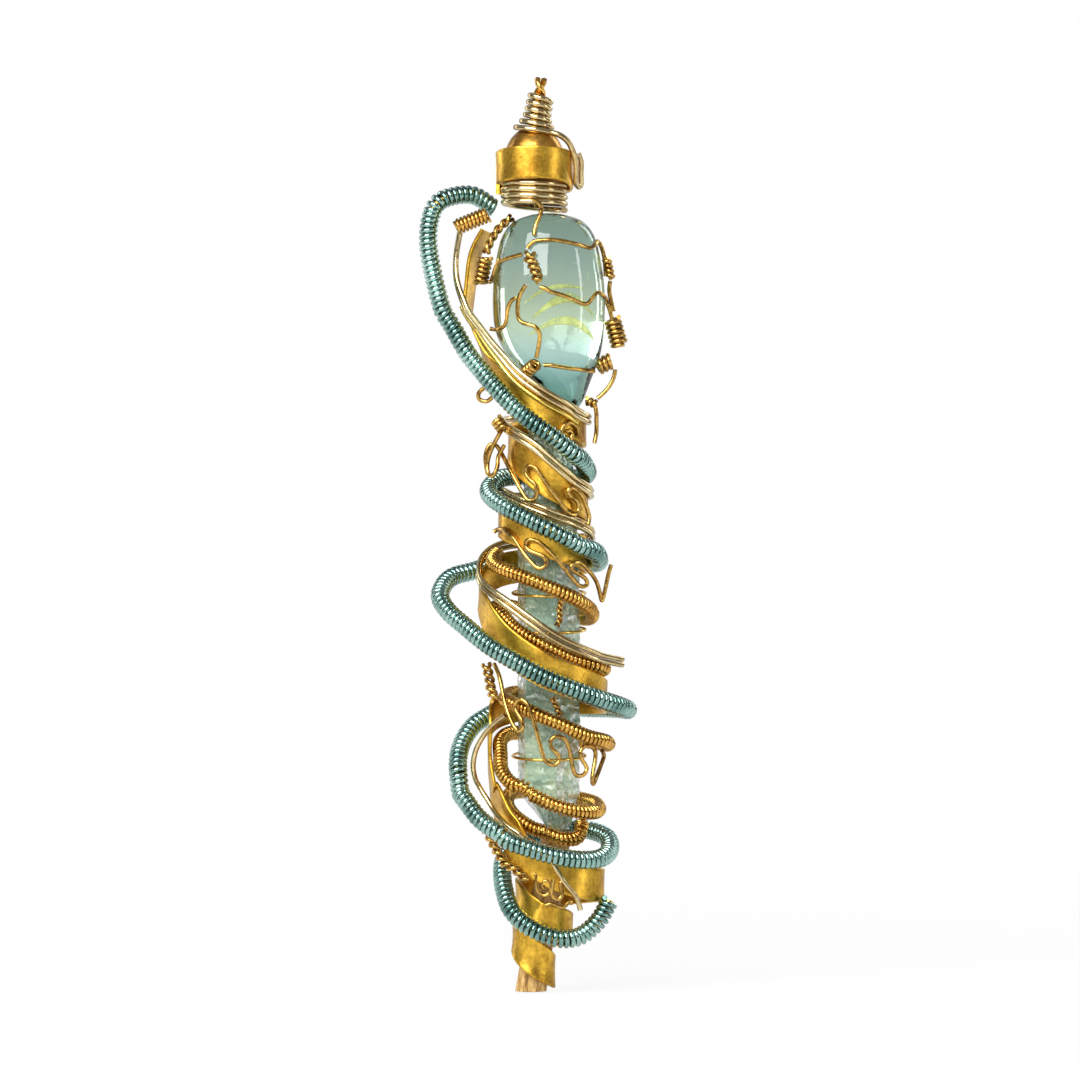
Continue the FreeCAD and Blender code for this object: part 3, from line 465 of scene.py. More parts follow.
# %% [markdown]
# ## The wires that keep their CAD shape
#
# The plain round wires, the net, the knots, the scrolls and the ties are already the right shape, so
# they only need their finish. A CAD piece is given it by filling its material slots.

# %% Dress the CAD wires
CAD_FINISHES = [
    (champagne_wire, [
        "champagne_wire_first", "champagne_wire_second", "finial_wire", "lower_wire", "neck_coil",
    ]),
    (bright_gold, ["bright_wire", "gold_core_wire", "aqua_core_wire", "column_rings"]),
    (gold_wire, ["binding_coil", "finial_post"]),
]
NET_PREFIXES = ("net_", "scroll_", "tie_", "tail_", "waist_", "band_", "lower_twist")
net_names = [name for name in nodes if name.startswith(NET_PREFIXES) and name != "tail_stick"]
CAD_FINISHES.append((net_wire, net_names))

for material, names in CAD_FINISHES:
    for name in names:
        mesh = nodes[name].data
        mesh.materials.clear()
        mesh.materials.append(material)
    print(material.name, "on", len(names), "CAD pieces")

# %% [markdown]
# ## Routes of the strip and the coils
#
# These are the same stations as the CAD model's: bearing round the wand, level up it, and stand-off in
# millimetres. A bearing that goes past 360 is the next turn.

# %% Write down the routes
FLAT_STRIP = [
    (-108, 5.83, 4.8), (-106, 5.57, 5.6), (-104, 5.16, 4.6), (-99, 4.81, 3.4), (-86, 4.47, 2.0),
    (-50, 4.25, 0.5), (-10, 4.11, 0.2), (40, 3.97, 0.3), (90, 3.91, 0.2), (180, 3.86, 0.4),
    (270, 3.82, 0.7), (315, 3.68, 1.0), (360, 3.49, 1.0), (405, 3.36, 0.8), (450, 3.28, 0.5),
    (540, 3.22, 1.0), (630, 3.17, 2.2), (675, 3.10, 2.0), (720, 3.00, 1.7), (765, 2.96, 1.1),
    (810, 2.94, 0.6), (900, 2.91, 1.4), (960, 2.88, 3.4), (990, 2.80, 5.1), (1010, 2.71, 4.8),
    (1035, 2.60, 4.1), (1080, 2.48, 3.8), (1125, 2.42, 3.8), (1165, 2.38, 3.4), (1260, 2.36, 2.3),
    (1345, 2.29, 3.5), (1352, 2.13, 3.7), (1365, 1.82, 2.8), (1395, 0.98, 2.6), (1445, 0.77, 2.2),
    (1489, 0.68, 4.0), (1521, 0.66, 4.9), (1556, 0.64, 3.5), (1609, 0.61, 1.2), (1710, 0.59, -0.4),
    (1769, 0.51, -0.0), (1800, 0.46, 1.0), (1845, 0.42, 1.2), (1890, 0.38, 1.6), (1935, 0.37, 1.2),
    (1980, 0.38, 0.4), (2025, 0.39, 0.1), (2070, 0.36, 0.1), (2115, 0.29, 0.0), (2160, 0.21, 0.05),
    (2205, 0.15, 0.2), (2250, 0.12, 0.35),
]
AQUA_COIL = [
    (-107, 6.11, 4.4), (-97, 6.33, 7.4), (-90, 6.24, 11.7), (-90, 6.00, 13.3), (-89, 5.70, 12.6),
    (-88, 5.35, 10.3), (-84, 4.92, 7.0), (-77, 4.63, 5.5), (-67, 4.41, 4.0), (-47, 4.18, 3.0),
    (-22, 3.99, 3.0), (2, 3.86, 3.1), (25, 3.72, 3.0), (41, 3.66, 2.2), (70, 3.58, 0.9),
    (120, 3.52, 0.4), (180, 3.52, 1.6), (214, 3.53, 2.4), (246, 3.51, 2.9), (270, 3.43, 3.8),
    (290, 3.36, 4.0), (316, 3.27, 3.8), (341, 3.17, 3.6), (363, 3.08, 4.0), (385, 2.99, 3.9),
    (410, 2.96, 3.5), (441, 2.93, 2.4), (478, 2.91, 2.7), (522, 2.91, 3.2), (557, 2.91, 4.0),
    (586, 2.91, 5.5), (604, 2.88, 7.4), (620, 2.85, 10.0), (636, 2.78, 11.3), (646, 2.72, 10.5),
    (658, 2.66, 8.9), (674, 2.59, 7.5), (693, 2.53, 6.5), (714, 2.47, 6.1), (737, 2.42, 6.3),
    (758, 2.38, 6.6), (779, 2.35, 7.0), (799, 2.33, 6.9), (818, 2.33, 5.8), (843, 2.33, 4.9),
    (876, 2.33, 4.5), (912, 2.34, 4.2), (942, 2.33, 4.5), (963, 2.30, 5.1), (977, 2.26, 6.6),
    (988, 2.19, 8.0), (997, 2.12, 8.6), (1004, 2.04, 8.7), (1013, 1.77, 8.2), (1024, 1.32, 7.2),
    (1040, 0.99, 6.0), (1061, 0.91, 5.1), (1084, 0.86, 4.8), (1108, 0.83, 4.9), (1132, 0.83, 5.2),
    (1153, 0.87, 5.0), (1173, 0.94, 4.1), (1196, 0.98, 2.6), (1227, 1.00, 0.9), (1264, 0.97, 0.5),
    (1300, 0.91, 1.0), (1330, 0.83, 1.7), (1356, 0.74, 1.9), (1378, 0.63, 2.3), (1398, 0.52, 2.8),
    (1422, 0.43, 3.1), (1447, 0.37, 3.5), (1471, 0.34, 4.3), (1491, 0.36, 5.2), (1502, 0.45, 6.5),
    (1508, 0.57, 7.1),
]
GOLD_COIL = [
    (-101, 2.95, 2.80), (-81, 2.92, 3.33), (-56, 2.89, 3.35), (-31, 2.86, 2.75), (-2, 2.82, 2.25),
    (26, 2.78, 2.15), (54, 2.74, 1.85), (83, 2.71, 1.35), (116, 2.69, 1.35), (157, 2.70, 1.55),
    (201, 2.72, 2.55), (236, 2.74, 3.05), (266, 2.73, 3.05), (292, 2.72, 2.95), (320, 2.65, 2.45),
    (354, 2.59, 2.25), (385, 2.54, 2.49), (418, 2.50, 4.14), (447, 2.48, 2.26), (488, 2.43, 1.16),
    (538, 2.40, 0.69), (606, 2.39, 1.08), (639, 2.37, 1.45), (674, 2.35, 1.65), (702, 2.32, 2.15),
    (730, 2.28, 2.75), (759, 2.23, 3.55), (780, 2.21, 4.15), (794, 2.20, 3.95), (813, 2.19, 3.55),
    (850, 2.20, 2.05), (897, 2.22, 1.85), (932, 2.23, 1.95), (960, 2.23, 1.85), (988, 2.20, 2.15),
    (1007, 2.15, 2.43), (1023, 2.09, 3.25), (1039, 2.04, 3.25), (1059, 2.00, 2.55), (1082, 1.75, 2.35),
    (1106, 1.57, 2.65), (1131, 1.50, 2.95), (1153, 1.55, 2.65), (1177, 1.68, 1.95), (1214, 1.79, 1.35),
    (1257, 1.89, 1.35), (1291, 1.98, 1.35), (1320, 1.96, 1.25), (1350, 1.75, 1.19), (1374, 1.50, 1.11),
    (1397, 1.27, 1.08), (1421, 1.05, 0.95), (1448, 0.97, 0.95), (1473, 0.95, 1.15), (1494, 0.98, 0.65),
    (1514, 1.14, -0.15),
]
print("stations:", len(FLAT_STRIP), len(AQUA_COIL), len(GOLD_COIL))


# %% [markdown]
# ## The coiled wires
#
# The coils are thin wire wound tightly on a core wire, then wrapped round the wand. The CAD model draws
# each as the plain sleeve that its turns fill. Here the turns are real: a helix goes round the core, a
# little over one wire's width forward at each turn, and is skinned as a thin wire. Turns wound by hand
# are a little uneven, so the helix is nudged by slow noise. The gold wire bites 0.1 mm into its core.

# %% Wind the coils
TURN_STEPS = 14
WIRE_SIDES = 10
LOOSENESS = 0.4
WANDER_RATE = 0.011
AQUA_CORE, AQUA_GAUGE, AQUA_GAP = 1.3, 0.8, 0.02
GOLD_CORE, GOLD_GAUGE, GOLD_GAP = 1.1, 0.6, 0.06


def winding(route, radius, pitch):
    """The centre line of a wire wound round a route."""
    centres = even(route, pitch / TURN_STEPS)
    _, side, up = carried(centres)
    steps = np.arange(len(centres))
    wander = [noise.noise(Vector((step * WANDER_RATE, radius / MM, 3.0))) for step in steps]
    angle = 2 * np.pi * steps / TURN_STEPS + LOOSENESS * np.array(wander)
    return centres + side * (radius * np.cos(angle))[:, None] + up * (radius * np.sin(angle))[:, None]


def coiled(name, stations, core, gauge, gap):
    """A close-wound coil as one long wire; lengths in millimetres."""
    route = around(smooth(stations, 6))
    turns = winding(route, (core + gauge) / 2 * MM, (gauge + gap) * MM)
    return skin(name, tube_rings(turns, gauge / 2 * MM, WIRE_SIDES))


aqua_turns = coiled("aqua_turns", AQUA_COIL, AQUA_CORE, AQUA_GAUGE, AQUA_GAP)
finish_piece(aqua_turns, aqua_wire, "aqua_wire", "aqua_coil")
gold_turns = coiled("gold_turns", GOLD_COIL, GOLD_CORE, GOLD_GAUGE, GOLD_GAP)
finish_piece(gold_turns, gold_wire, "gold_wire", "gold_coil")


# %% [markdown]
# ## The flat strip
#
# The strip is rolled brass, 5 mm wide. Its edges are rounded and slightly turned, and its face is
# hollowed a little by bending, which is what makes a broad soft highlight slide along it. Each ring is
# the outline of the strip's section, laid across the route with its face outward.

# %% Lay the strip
STRIP_WIDTH = 5.0 * MM
STRIP_THICKNESS = 0.6 * MM
STRIP_SECTION = [
    (0.5, 0.0), (0.494, 0.34), (0.47, 0.47), (0.42, 0.47), (0.25, 0.42), (0.0, 0.40), (-0.25, 0.42),
    (-0.42, 0.47), (-0.47, 0.47), (-0.494, 0.34), (-0.5, 0.0), (-0.494, -0.34), (-0.46, -0.48),
    (-0.25, -0.5), (0.0, -0.5), (0.25, -0.5), (0.46, -0.48), (0.494, -0.34),
]


def strip_rings(points, axis):
    """Rings of the strip's section along a route, with the face turned away from the axis."""
    along = unit(np.gradient(points, axis=0))
    outward = points * (1, 1, 0)
    outward[:, 0] -= axis
    across = unit(np.cross(outward, along))
    rise = unit(np.cross(along, across))
    rings = []
    for share, depth in STRIP_SECTION:
        rings.append(points + across * (share * STRIP_WIDTH) + rise * (depth * STRIP_THICKNESS))
    return np.stack(rings, axis=1)[:, ::-1]


strip_route = around(smooth(FLAT_STRIP, 14))
strip = skin("strip", strip_rings(strip_route, middle(strip_route[:, 2])))
finish_piece(strip, brushed_strip, "brushed_strip", "flat_strip")

# %% [markdown]
# ## The strip round the bead
#
# One more turn of the same strip goes round the bead, higher on the left than on the right.

# %% Lay the neck strip
NECK_RADIUS = 5.6 * MM
NECK_STRIP = [
    (-80, 2.0), (-40, 1.5), (0, 1.3), (45, 1.6), (90, 2.5), (135, 3.3), (180, 3.6), (225, 3.4), (262, 3.3),
]
bearing, drop = smooth(NECK_STRIP, 12).T
turn = np.radians(bearing)
neck_route = np.stack([
    NECK_AXIS + NECK_RADIUS * np.sin(turn), -NECK_RADIUS * np.cos(turn), BEAD_HEIGHT - drop * MM,
], axis=1)
neck_band = skin("neck_band", strip_rings(neck_route, NECK_AXIS))
finish_piece(neck_band, brushed_strip, "brushed_strip", "neck_strip")

# %% [markdown]
# ## The glass stone
#
# The head is a tumbled barrel, fullest a little above its middle and drawn in to a blunt foot. It is
# skinned over the same sections as its CAD solid, which the Catmull-Rom curve eases into one another,
# so that no edge shows. Each section is an ellipse: how high it lies, its width and its lean to the right.

# %% Shape the stone
STONE_SECTIONS = [
    (0.0, 0.10, 0.28), (0.04, 0.25, 0.26), (0.09, 0.40, 0.22), (0.19, 0.61, 0.15), (0.30, 0.83, 0.08),
    (0.43, 0.97, 0.01), (0.60, 1.0, 0.0), (0.76, 0.94, -0.01), (0.89, 0.82, -0.01), (0.96, 0.62, -0.01),
    (0.99, 0.35, -0.01), (1.0, 0.14, -0.01),
]
STONE_DEPTH = 7.2 * MM
STONE_HEIGHT = stone_high.z - stone_low.z


def stone_rings(shrink, sides):
    """Rings of the stone, drawn in by a share so that it stays inside its CAD solid."""
    sections = smooth(STONE_SECTIONS, 4)
    angle = np.linspace(0, 2 * np.pi, sides, endpoint=False)
    rings = []
    for rise, share, offset in sections:
        ring = np.stack([
            AXIS + (offset + share * shrink * np.cos(angle)) * STONE_RADIUS,
            share * shrink * np.sin(angle) * STONE_DEPTH,
            np.full(sides, stone_low.z + rise * STONE_HEIGHT),
        ], axis=1)
        rings.append(ring)
    return np.array(rings)


stone = skin("glass_stone", stone_rings(0.995, 64))

# %% [markdown]
# ## The glass
#
# The glass is clear and pale aqua. Up its height the colour runs from deep green at the foot, through pale
# aqua and a yellowish band, to grey green at the crown. The pale aqua is the glass's own tint; the darker
# foot and crown are painted shade and painted reflection, and the yellowish band is a painted reflection.
# The rim is darker too: a painted dark reflection at the edges.


# %% Make the glass
def add_ramp(tree, stops):
    """A colour ramp with its stops given as (place, colour)."""
    ramp = tree.nodes.new("ShaderNodeValToRGB")
    elements = ramp.color_ramp.elements
    while len(elements) < len(stops):
        elements.new(0.5)
    for element, (place, tint) in zip(elements, stops):
        element.position = place
        element.color = tint
    return ramp


def build_glass():
    material, tree, shader = new_material("tumbled_glass")
    shader.inputs["Transmission Weight"].default_value = 1.0
    shader.inputs["IOR"].default_value = 1.48
    place = add(tree, "TexCoord")
    split = add(tree, "SeparateXYZ")
    share = add(tree, "MapRange", From_Min=stone_low.z, From_Max=stone_high.z)
    join(tree, place.outputs["Object"], split.inputs[0])
    join(tree, split.outputs["Z"], share.inputs["Value"])
    # The colour up the stone is painted: the darker foot and crown are painted shade and reflection, the
    # yellowish band a painted reflection.
    tint = add_ramp(tree, [
        (0.0, colour(76, 118, 106)), (0.2, colour(122, 172, 164)), (0.34, colour(172, 208, 200)),
        (0.47, colour(190, 212, 184)), (0.6, colour(170, 190, 168)), (0.76, colour(146, 170, 158)),
        (1.0, colour(112, 138, 122)),
    ])
    join(tree, share.outputs[0], tint.inputs[0])
    surface = use_group(tree, GRAIN, Scale=220.0, Smooth=0.0, Rough=0.04)
    height = add(tree, "Bump", Strength=0.2, Distance=0.0002)
    # The darker rim is a painted dark reflection, mixed in where the glass faces away from the camera.
    edge = add(tree, "LayerWeight", Blend=0.4)
    rim = add(tree, "MapRange", From_Min=0.45, From_Max=0.95, To_Max=0.9)
    rim_shaded_tint = add(tree, "Mix", data_type="RGBA")
    rim_shaded_tint.inputs[7].default_value = colour(50, 76, 70)
    join(tree, edge.outputs["Facing"], rim.inputs["Value"])
    join(tree, rim.outputs[0], rim_shaded_tint.inputs["Factor"])
    join(tree, tint.outputs["Color"], rim_shaded_tint.inputs[6])
    join(tree, rim_shaded_tint.outputs[2], shader.inputs["Base Color"])
    join(tree, surface.outputs["Roughness"], shader.inputs["Roughness"])
    join(tree, surface.outputs["Height"], height.inputs["Height"])
    join(tree, height.outputs["Normal"], shader.inputs["Normal"])
    return material


tumbled_glass = build_glass()
finish_piece(stone, tumbled_glass, "tumbled_glass", "head_stone")

# %% [markdown]
# ## Painted reflections inside the stone
#
# Pale yellow arcs of reflected light are painted into the stone as thin curved blades a little behind the
# front of
# the glass, which glow faintly: painted reflections. A few small bubbles with the same glow hang among them.
# The alpha comes from noise, so that a blade fades in and out along its length.

# %% Lay the painted reflection sheets and bubbles
REFLECTION_SHEETS = [
    (1.5, 0.12, [(-2.2, 101.6), (0.2, 103.6), (2.6, 104.5), (4.8, 103.6), (6.4, 101.8)]),
    (1.3, 0.10, [(-2.6, 99.2), (0.4, 100.9), (3.2, 101.0), (5.4, 99.6), (6.6, 98.2)]),
    (0.7, 0.08, [(-3.4, 103.6), (-0.8, 105.6), (2.0, 106.2), (4.8, 105.9)]),
    (0.4, 0.06, [(5.4, 110.8), (5.8, 108.4), (5.3, 106.4)]),
]
SHEET_DEPTH = 3.2
BUBBLES = [(5.4, 96.0, 0.16), (-2.0, 98.0, 0.10), (1.2, 95.2, 0.08), (-1.4, 108.8, 0.12), (3.4, 109.6, 0.08)]


def reflection_sheet(width, thickness, path):
    """Rings of a thin blade that follows a path of (right of the axis, height), in millimetres."""
    route = smooth(path, 10)
    bulge = 0.9 * np.sin(np.linspace(0, np.pi, len(route)))
    points = np.stack([AXIS + route[:, 0] * MM, -(SHEET_DEPTH + bulge) * MM, route[:, 1] * MM], axis=1)
    taper = np.sin(np.linspace(0.12, np.pi - 0.12, len(route)))[:, None]
    angle = np.linspace(0, 2 * np.pi, 10, endpoint=False)
    rings = np.repeat(points[:, None], len(angle), axis=1)
    rings[:, :, 2] += taper * np.cos(angle) * width / 2 * MM
    rings[:, :, 1] += np.sin(angle) * thickness / 2 * MM
    return rings


glow_mesh = bmesh.new()
for width, thickness, path in REFLECTION_SHEETS:
    blade = skin("painted_reflection_blade", reflection_sheet(width, thickness, path))
    glow_mesh.from_mesh(blade.data)
    bpy.data.objects.remove(blade)
for right, up, radius in BUBBLES:
    made = bmesh.ops.create_icosphere(glow_mesh, subdivisions=2, radius=radius * MM)
    for vert in made["verts"]:
        vert.co *= 1 + 0.2 * noise.noise(vert.co / MM * 5)
        vert.co += Vector((AXIS + right * MM, -SHEET_DEPTH * MM, up * MM))
glow_data = bpy.data.meshes.new("painted_stone_reflections")
glow_mesh.to_mesh(glow_data)
glow_mesh.free()
painted_glow = bpy.data.objects.new("painted_stone_reflections", glow_data)
bpy.context.scene.collection.objects.link(painted_glow)


def build_painted_glow():
    material, tree, shader = new_material("painted_reflection_glow")
    shader.inputs["Roughness"].default_value = 0.35
    # The yellow glow is a painted reflection: these blades and bubbles glow though they are no lamp.
    shader.inputs["Emission Strength"].default_value = 0.45
    place = add(tree, "TexCoord")
    wisps = add(tree, "TexNoise", Scale=420.0, Detail=4.0, Roughness=0.6)
    join(tree, place.outputs["Object"], wisps.inputs["Vector"])
    tint = add_ramp(tree, [(0.35, colour(206, 204, 110)), (0.65, colour(240, 236, 170))])
    join(tree, wisps.outputs["Fac"], tint.inputs[0])
    fade = add(tree, "MapRange", From_Min=0.35, From_Max=0.65, To_Min=0.35, To_Max=0.95)
    join(tree, wisps.outputs["Fac"], fade.inputs["Value"])
    join(tree, tint.outputs["Color"], shader.inputs["Base Color"])
    join(tree, tint.outputs["Color"], shader.inputs["Emission Color"])
    join(tree, fade.outputs[0], shader.inputs["Alpha"])
    return material


finish_piece(painted_glow, build_painted_glow(), "tumbled_glass")

# %% [markdown]
# ## The crystal column
#
# The grip is a rough six-sided crystal. Its faces are not flat: they carry growth steps, chips and pits.
# The rings below follow the hexagon, and the surface is only ever pushed inward from it, by a mix of
# broad waves, steps and fine noise, so that it stays inside its CAD solid.

# %% Shape the crystal
CRYSTAL_TURN = 12.0
BROAD_WEAR, STEP_WEAR, FINE_WEAR = 0.40, 0.35, 0.12
COLUMN_LENGTH = (column_high.z - column_low.z) / MM
COLUMN_REACH = COLUMN_RADIUS / MM
CRYSTAL_SECTIONS = [
    (0.0, 1.7, 1.5), (POINT_LENGTH / MM, COLUMN_REACH, 0.0),
    (COLUMN_LENGTH - TAPER_LENGTH / MM, COLUMN_REACH, 0.0), (COLUMN_LENGTH, 3.3, 0.0),
]


def hexagon_reach(angle):
    """How far a hexagon with unit corners reaches at each angle."""
    across = np.mod(angle, math.pi / 3) - math.pi / 6
    return math.cos(math.pi / 6) / np.cos(across)


def crystal_rings(count, sides):
    rises, radii, offsets = np.array(CRYSTAL_SECTIONS).T
    angle = np.linspace(0, 2 * np.pi, sides, endpoint=False)
    bearing = angle + math.radians(CRYSTAL_TURN)
    rings = []
    for rise in np.linspace(0.0, rises[-1], count):
        radius = np.interp(rise, rises, radii)
        offset = np.interp(rise, rises, offsets)
        worn = []
        for turn in angle:
            place = Vector((math.cos(turn) * 2.2, math.sin(turn) * 2.2, rise * 0.35))
            broad = 0.5 + 0.5 * noise.noise(place)
            step = abs(noise.noise(place * 2.3 + Vector((9.0, 2.0, 5.0))))
            fine = 0.5 + 0.5 * noise.noise(place * 9.0)
            worn.append(BROAD_WEAR * broad + STEP_WEAR * round(step * 4) / 4 + FINE_WEAR * fine)
        reach = (radius * hexagon_reach(angle) - np.array(worn) * radius / COLUMN_REACH) * MM
        rings.append(np.stack([
            AXIS + offset * MM + reach * np.sin(bearing), -reach * np.cos(bearing),
            np.full(sides, column_low.z + rise * MM),
        ], axis=1))
    return np.array(rings)


crystal = skin("rough_crystal", crystal_rings(260, 96)[:, ::-1])

# %% [markdown]
# ## The crystal's finish
#
# Rough crystal is half clear and half milky, so it is only partly transmissive. Cloudy noise moves its
# tint from grey green to pale yellow green, tiny white specks in the colour are frosty inclusions and
# painted glints together, and cracks are duller than the faces between them.


# %% Make the crystal
def build_crystal():
    material, tree, shader = new_material("frosted_crystal")
    shader.inputs["Transmission Weight"].default_value = 0.55
    shader.inputs["IOR"].default_value = 1.5
    place = add(tree, "TexCoord")
    clouds = add(tree, "TexNoise", Scale=170.0, Detail=6.0, Roughness=0.62, Distortion=0.6)
    cracks = add(tree, "TexVoronoi", Scale=420.0, feature="DISTANCE_TO_EDGE")
    join(tree, place.outputs["Object"], clouds.inputs["Vector"])
    join(tree, place.outputs["Object"], cracks.inputs["Vector"])
    tint = add_ramp(tree, [
        (0.25, colour(98, 128, 112)), (0.42, colour(148, 178, 158)), (0.55, colour(180, 202, 172)),
        (0.68, colour(214, 224, 186)), (0.8, colour(242, 240, 214)),
    ])
    join(tree, clouds.outputs["Fac"], tint.inputs[0])
    # The white specks are partly frosty inclusions and partly painted glints.
    specks = add(tree, "TexVoronoi", Scale=900.0)
    join(tree, place.outputs["Object"], specks.inputs["Vector"])
    speck_and_glint_mask = add(tree, "MapRange", From_Min=0.22, From_Max=0.1, To_Min=0.0, To_Max=0.8)
    join(tree, specks.outputs["Distance"], speck_and_glint_mask.inputs["Value"])
    speck_and_glint_tint = add(tree, "Mix", data_type="RGBA")
    speck_and_glint_tint.inputs[7].default_value = colour(250, 250, 240)
    join(tree, speck_and_glint_mask.outputs[0], speck_and_glint_tint.inputs["Factor"])
    join(tree, tint.outputs["Color"], speck_and_glint_tint.inputs[6])
    frost = add(tree, "MapRange", From_Min=0.0, From_Max=0.12, To_Min=0.34, To_Max=0.16)
    join(tree, cracks.outputs["Distance"], frost.inputs["Value"])
    surface = use_group(tree, GRAIN, Scale=1600.0, Smooth=0.1, Rough=0.5)
    height = add(tree, "Bump", Strength=0.3, Distance=0.0002)
    join(tree, speck_and_glint_tint.outputs[2], shader.inputs["Base Color"])
    join(tree, frost.outputs[0], shader.inputs["Roughness"])
    join(tree, surface.outputs["Height"], height.inputs["Height"])
    join(tree, height.outputs["Normal"], shader.inputs["Normal"])
    return material


frosted_crystal = build_crystal()
finish_piece(crystal, frosted_crystal, "frosted_crystal", "crystal_column")

# %% [markdown]
# ## The gilded stick
#
# The tail is a twig with its bark on, brushed with gold paint. Bark splits along the grain, so the
# surface is pushed inward in long narrow grooves, and its cut end is left rough.

# %% Shape the stick
STICK_LEAN = 3.8 * MM
GROOVE_DEPTH, KNOB_DEPTH, FLAKE_DEPTH = 0.34, 0.16, 0.08


def stick_rings(count, sides):
    angle = np.linspace(0, 2 * np.pi, sides, endpoint=False)
    rings = []
    for rise in np.linspace(0.0, 1.0, count):
        centre = Vector((STICK_LEAN * rise, 0.0, stick_high.z * rise))
        groove = []
        for turn in angle:
            place = Vector((math.cos(turn) * 2.6, math.sin(turn) * 2.6, rise * 3.0))
            split = abs(noise.noise(place))
            knob = noise.noise(place * 0.6 + Vector((4.0, 1.0, 7.0)))
            flake = noise.noise(Vector((place.x * 3, place.y * 3, rise * 30.0)))
            depth = GROOVE_DEPTH * (1 - min(1.0, split * 4)) + KNOB_DEPTH * max(0.0, knob)
            groove.append(depth + FLAKE_DEPTH * abs(flake))
        reach = STICK_RADIUS - np.array(groove) * MM
        rings.append(np.stack([
            centre.x + reach * np.cos(angle), reach * np.sin(angle), np.full(sides, centre.z),
        ], axis=1))
    return np.array(rings)


twig = skin("gilded_twig", stick_rings(160, 72))

# %% [markdown]
# ## The bark's finish
#
# Gold paint is rubbed over brown bark, so it is bright on the ridges and missing in the grooves. The
# fibres are noise stretched along the stick, and they set the colour, the gloss and the bump together.


# %% Make the bark
def build_bark():
    material, tree, shader = new_material("gilded_bark")
    shader.inputs["Metallic"].default_value = 0.35
    place = add(tree, "TexCoord")
    squeeze = add(tree, "Mapping")
    squeeze.inputs["Scale"].default_value = (1.0, 1.0, 0.22)
    fibres = add(tree, "TexNoise", Scale=900.0, Detail=6.0, Roughness=0.7)
    join(tree, place.outputs["Object"], squeeze.inputs["Vector"])
    join(tree, squeeze.outputs[0], fibres.inputs["Vector"])
    tint = add_ramp(tree, [
        (0.3, colour(96, 64, 28)), (0.42, colour(166, 124, 64)), (0.55, colour(214, 176, 110)),
        (0.72, colour(242, 218, 162)),
    ])
    join(tree, fibres.outputs["Fac"], tint.inputs[0])
    gloss = add(tree, "MapRange", From_Min=0.3, From_Max=0.7, To_Min=0.75, To_Max=0.4)
    join(tree, fibres.outputs["Fac"], gloss.inputs["Value"])
    height = add(tree, "Bump", Strength=0.8, Distance=0.0003)
    join(tree, tint.outputs["Color"], shader.inputs["Base Color"])
    join(tree, gloss.outputs[0], shader.inputs["Roughness"])
    join(tree, fibres.outputs["Fac"], height.inputs["Height"])
    join(tree, height.outputs["Normal"], shader.inputs["Normal"])
    return material


gilded_bark = build_bark()
finish_piece(twig, gilded_bark, "gilded_bark", "tail_stick")

# %% [markdown]
# ## The bead
#
# The bead under the finial is a small hammered ball of golden bronze, drilled for the wire. It is turned
# as rings from the rim of its hole over its belly to the other rim, with small dents.

# %% Turn the bead
BEAD_BORE = 1.25 * MM
DENT_DEPTH = 0.09


def bead_rings(count, sides):
    angle = np.linspace(0, 2 * np.pi, sides, endpoint=False)
    start = math.asin(BEAD_BORE / BEAD_RADIUS)
    rings = []
    for polar in np.linspace(math.pi - start, start, count):
        dents = []
        for turn in angle:
            place = Vector((math.cos(turn) * 3, math.sin(turn) * 3, polar * 3))
            dents.append(DENT_DEPTH * max(0.0, noise.noise(place)))
        reach = (BEAD_RADIUS - np.array(dents) * MM * math.sin(polar)) * math.sin(polar)
        rings.append(np.stack([
            NECK_AXIS + reach * np.cos(angle), reach * np.sin(angle),
            np.full(sides, BEAD_HEIGHT + BEAD_RADIUS * math.cos(polar)),
        ], axis=1))
    return np.array(rings)


bead = skin("hammered_bead", bead_rings(48, 64))
finish_piece(bead, bead_bronze, "bronze_bead", "top_bead")

# %% [markdown]
# ## The floor
#
# The floor is plain pale paper. Rays from the camera or through the glass see it as white, a little less
# so near the wand, where it keeps the wand's shadow, and fully white farther off, where it has to meet
# the backdrop without a line. Mirrored rays see part of that white, so the metal shows the floor too.

# %% Lay the floor
FLOOR_HALF = 12.0
FLOOR_MIRRORED = 0.3
SHADOW_NEAR, SHADOW_FAR = 0.03, 0.35

floor_mesh = bpy.data.meshes.new("floor")
shape = bmesh.new()
bmesh.ops.create_grid(shape, x_segments=8, y_segments=8, size=FLOOR_HALF)
shape.to_mesh(floor_mesh)
shape.free()
floor = bpy.data.objects.new("floor", floor_mesh)
floor.location.z = cad_box[0].z - 0.2 * MM
bpy.context.scene.collection.objects.link(floor)
floor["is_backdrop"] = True


def white_share(tree, mirrored_share):
    """How white the background is: fully for camera and transmission rays, in part for mirrored ones."""
    rays = add(tree, "LightPath")
    mirrored = add(tree, "Math", operation="MULTIPLY")
    straight = add(tree, "Math", operation="MAXIMUM")
    either = add(tree, "Math", operation="MAXIMUM")
    join(tree, rays.outputs["Is Glossy Ray"], mirrored.inputs[0])
    if isinstance(mirrored_share, float):
        mirrored.inputs[1].default_value = mirrored_share
    else:
        join(tree, mirrored_share, mirrored.inputs[1])
    join(tree, rays.outputs["Is Camera Ray"], straight.inputs[0])
    join(tree, rays.outputs["Is Transmission Ray"], straight.inputs[1])
    join(tree, straight.outputs[0], either.inputs[0])
    join(tree, mirrored.outputs[0], either.inputs[1])
    return either.outputs[0]


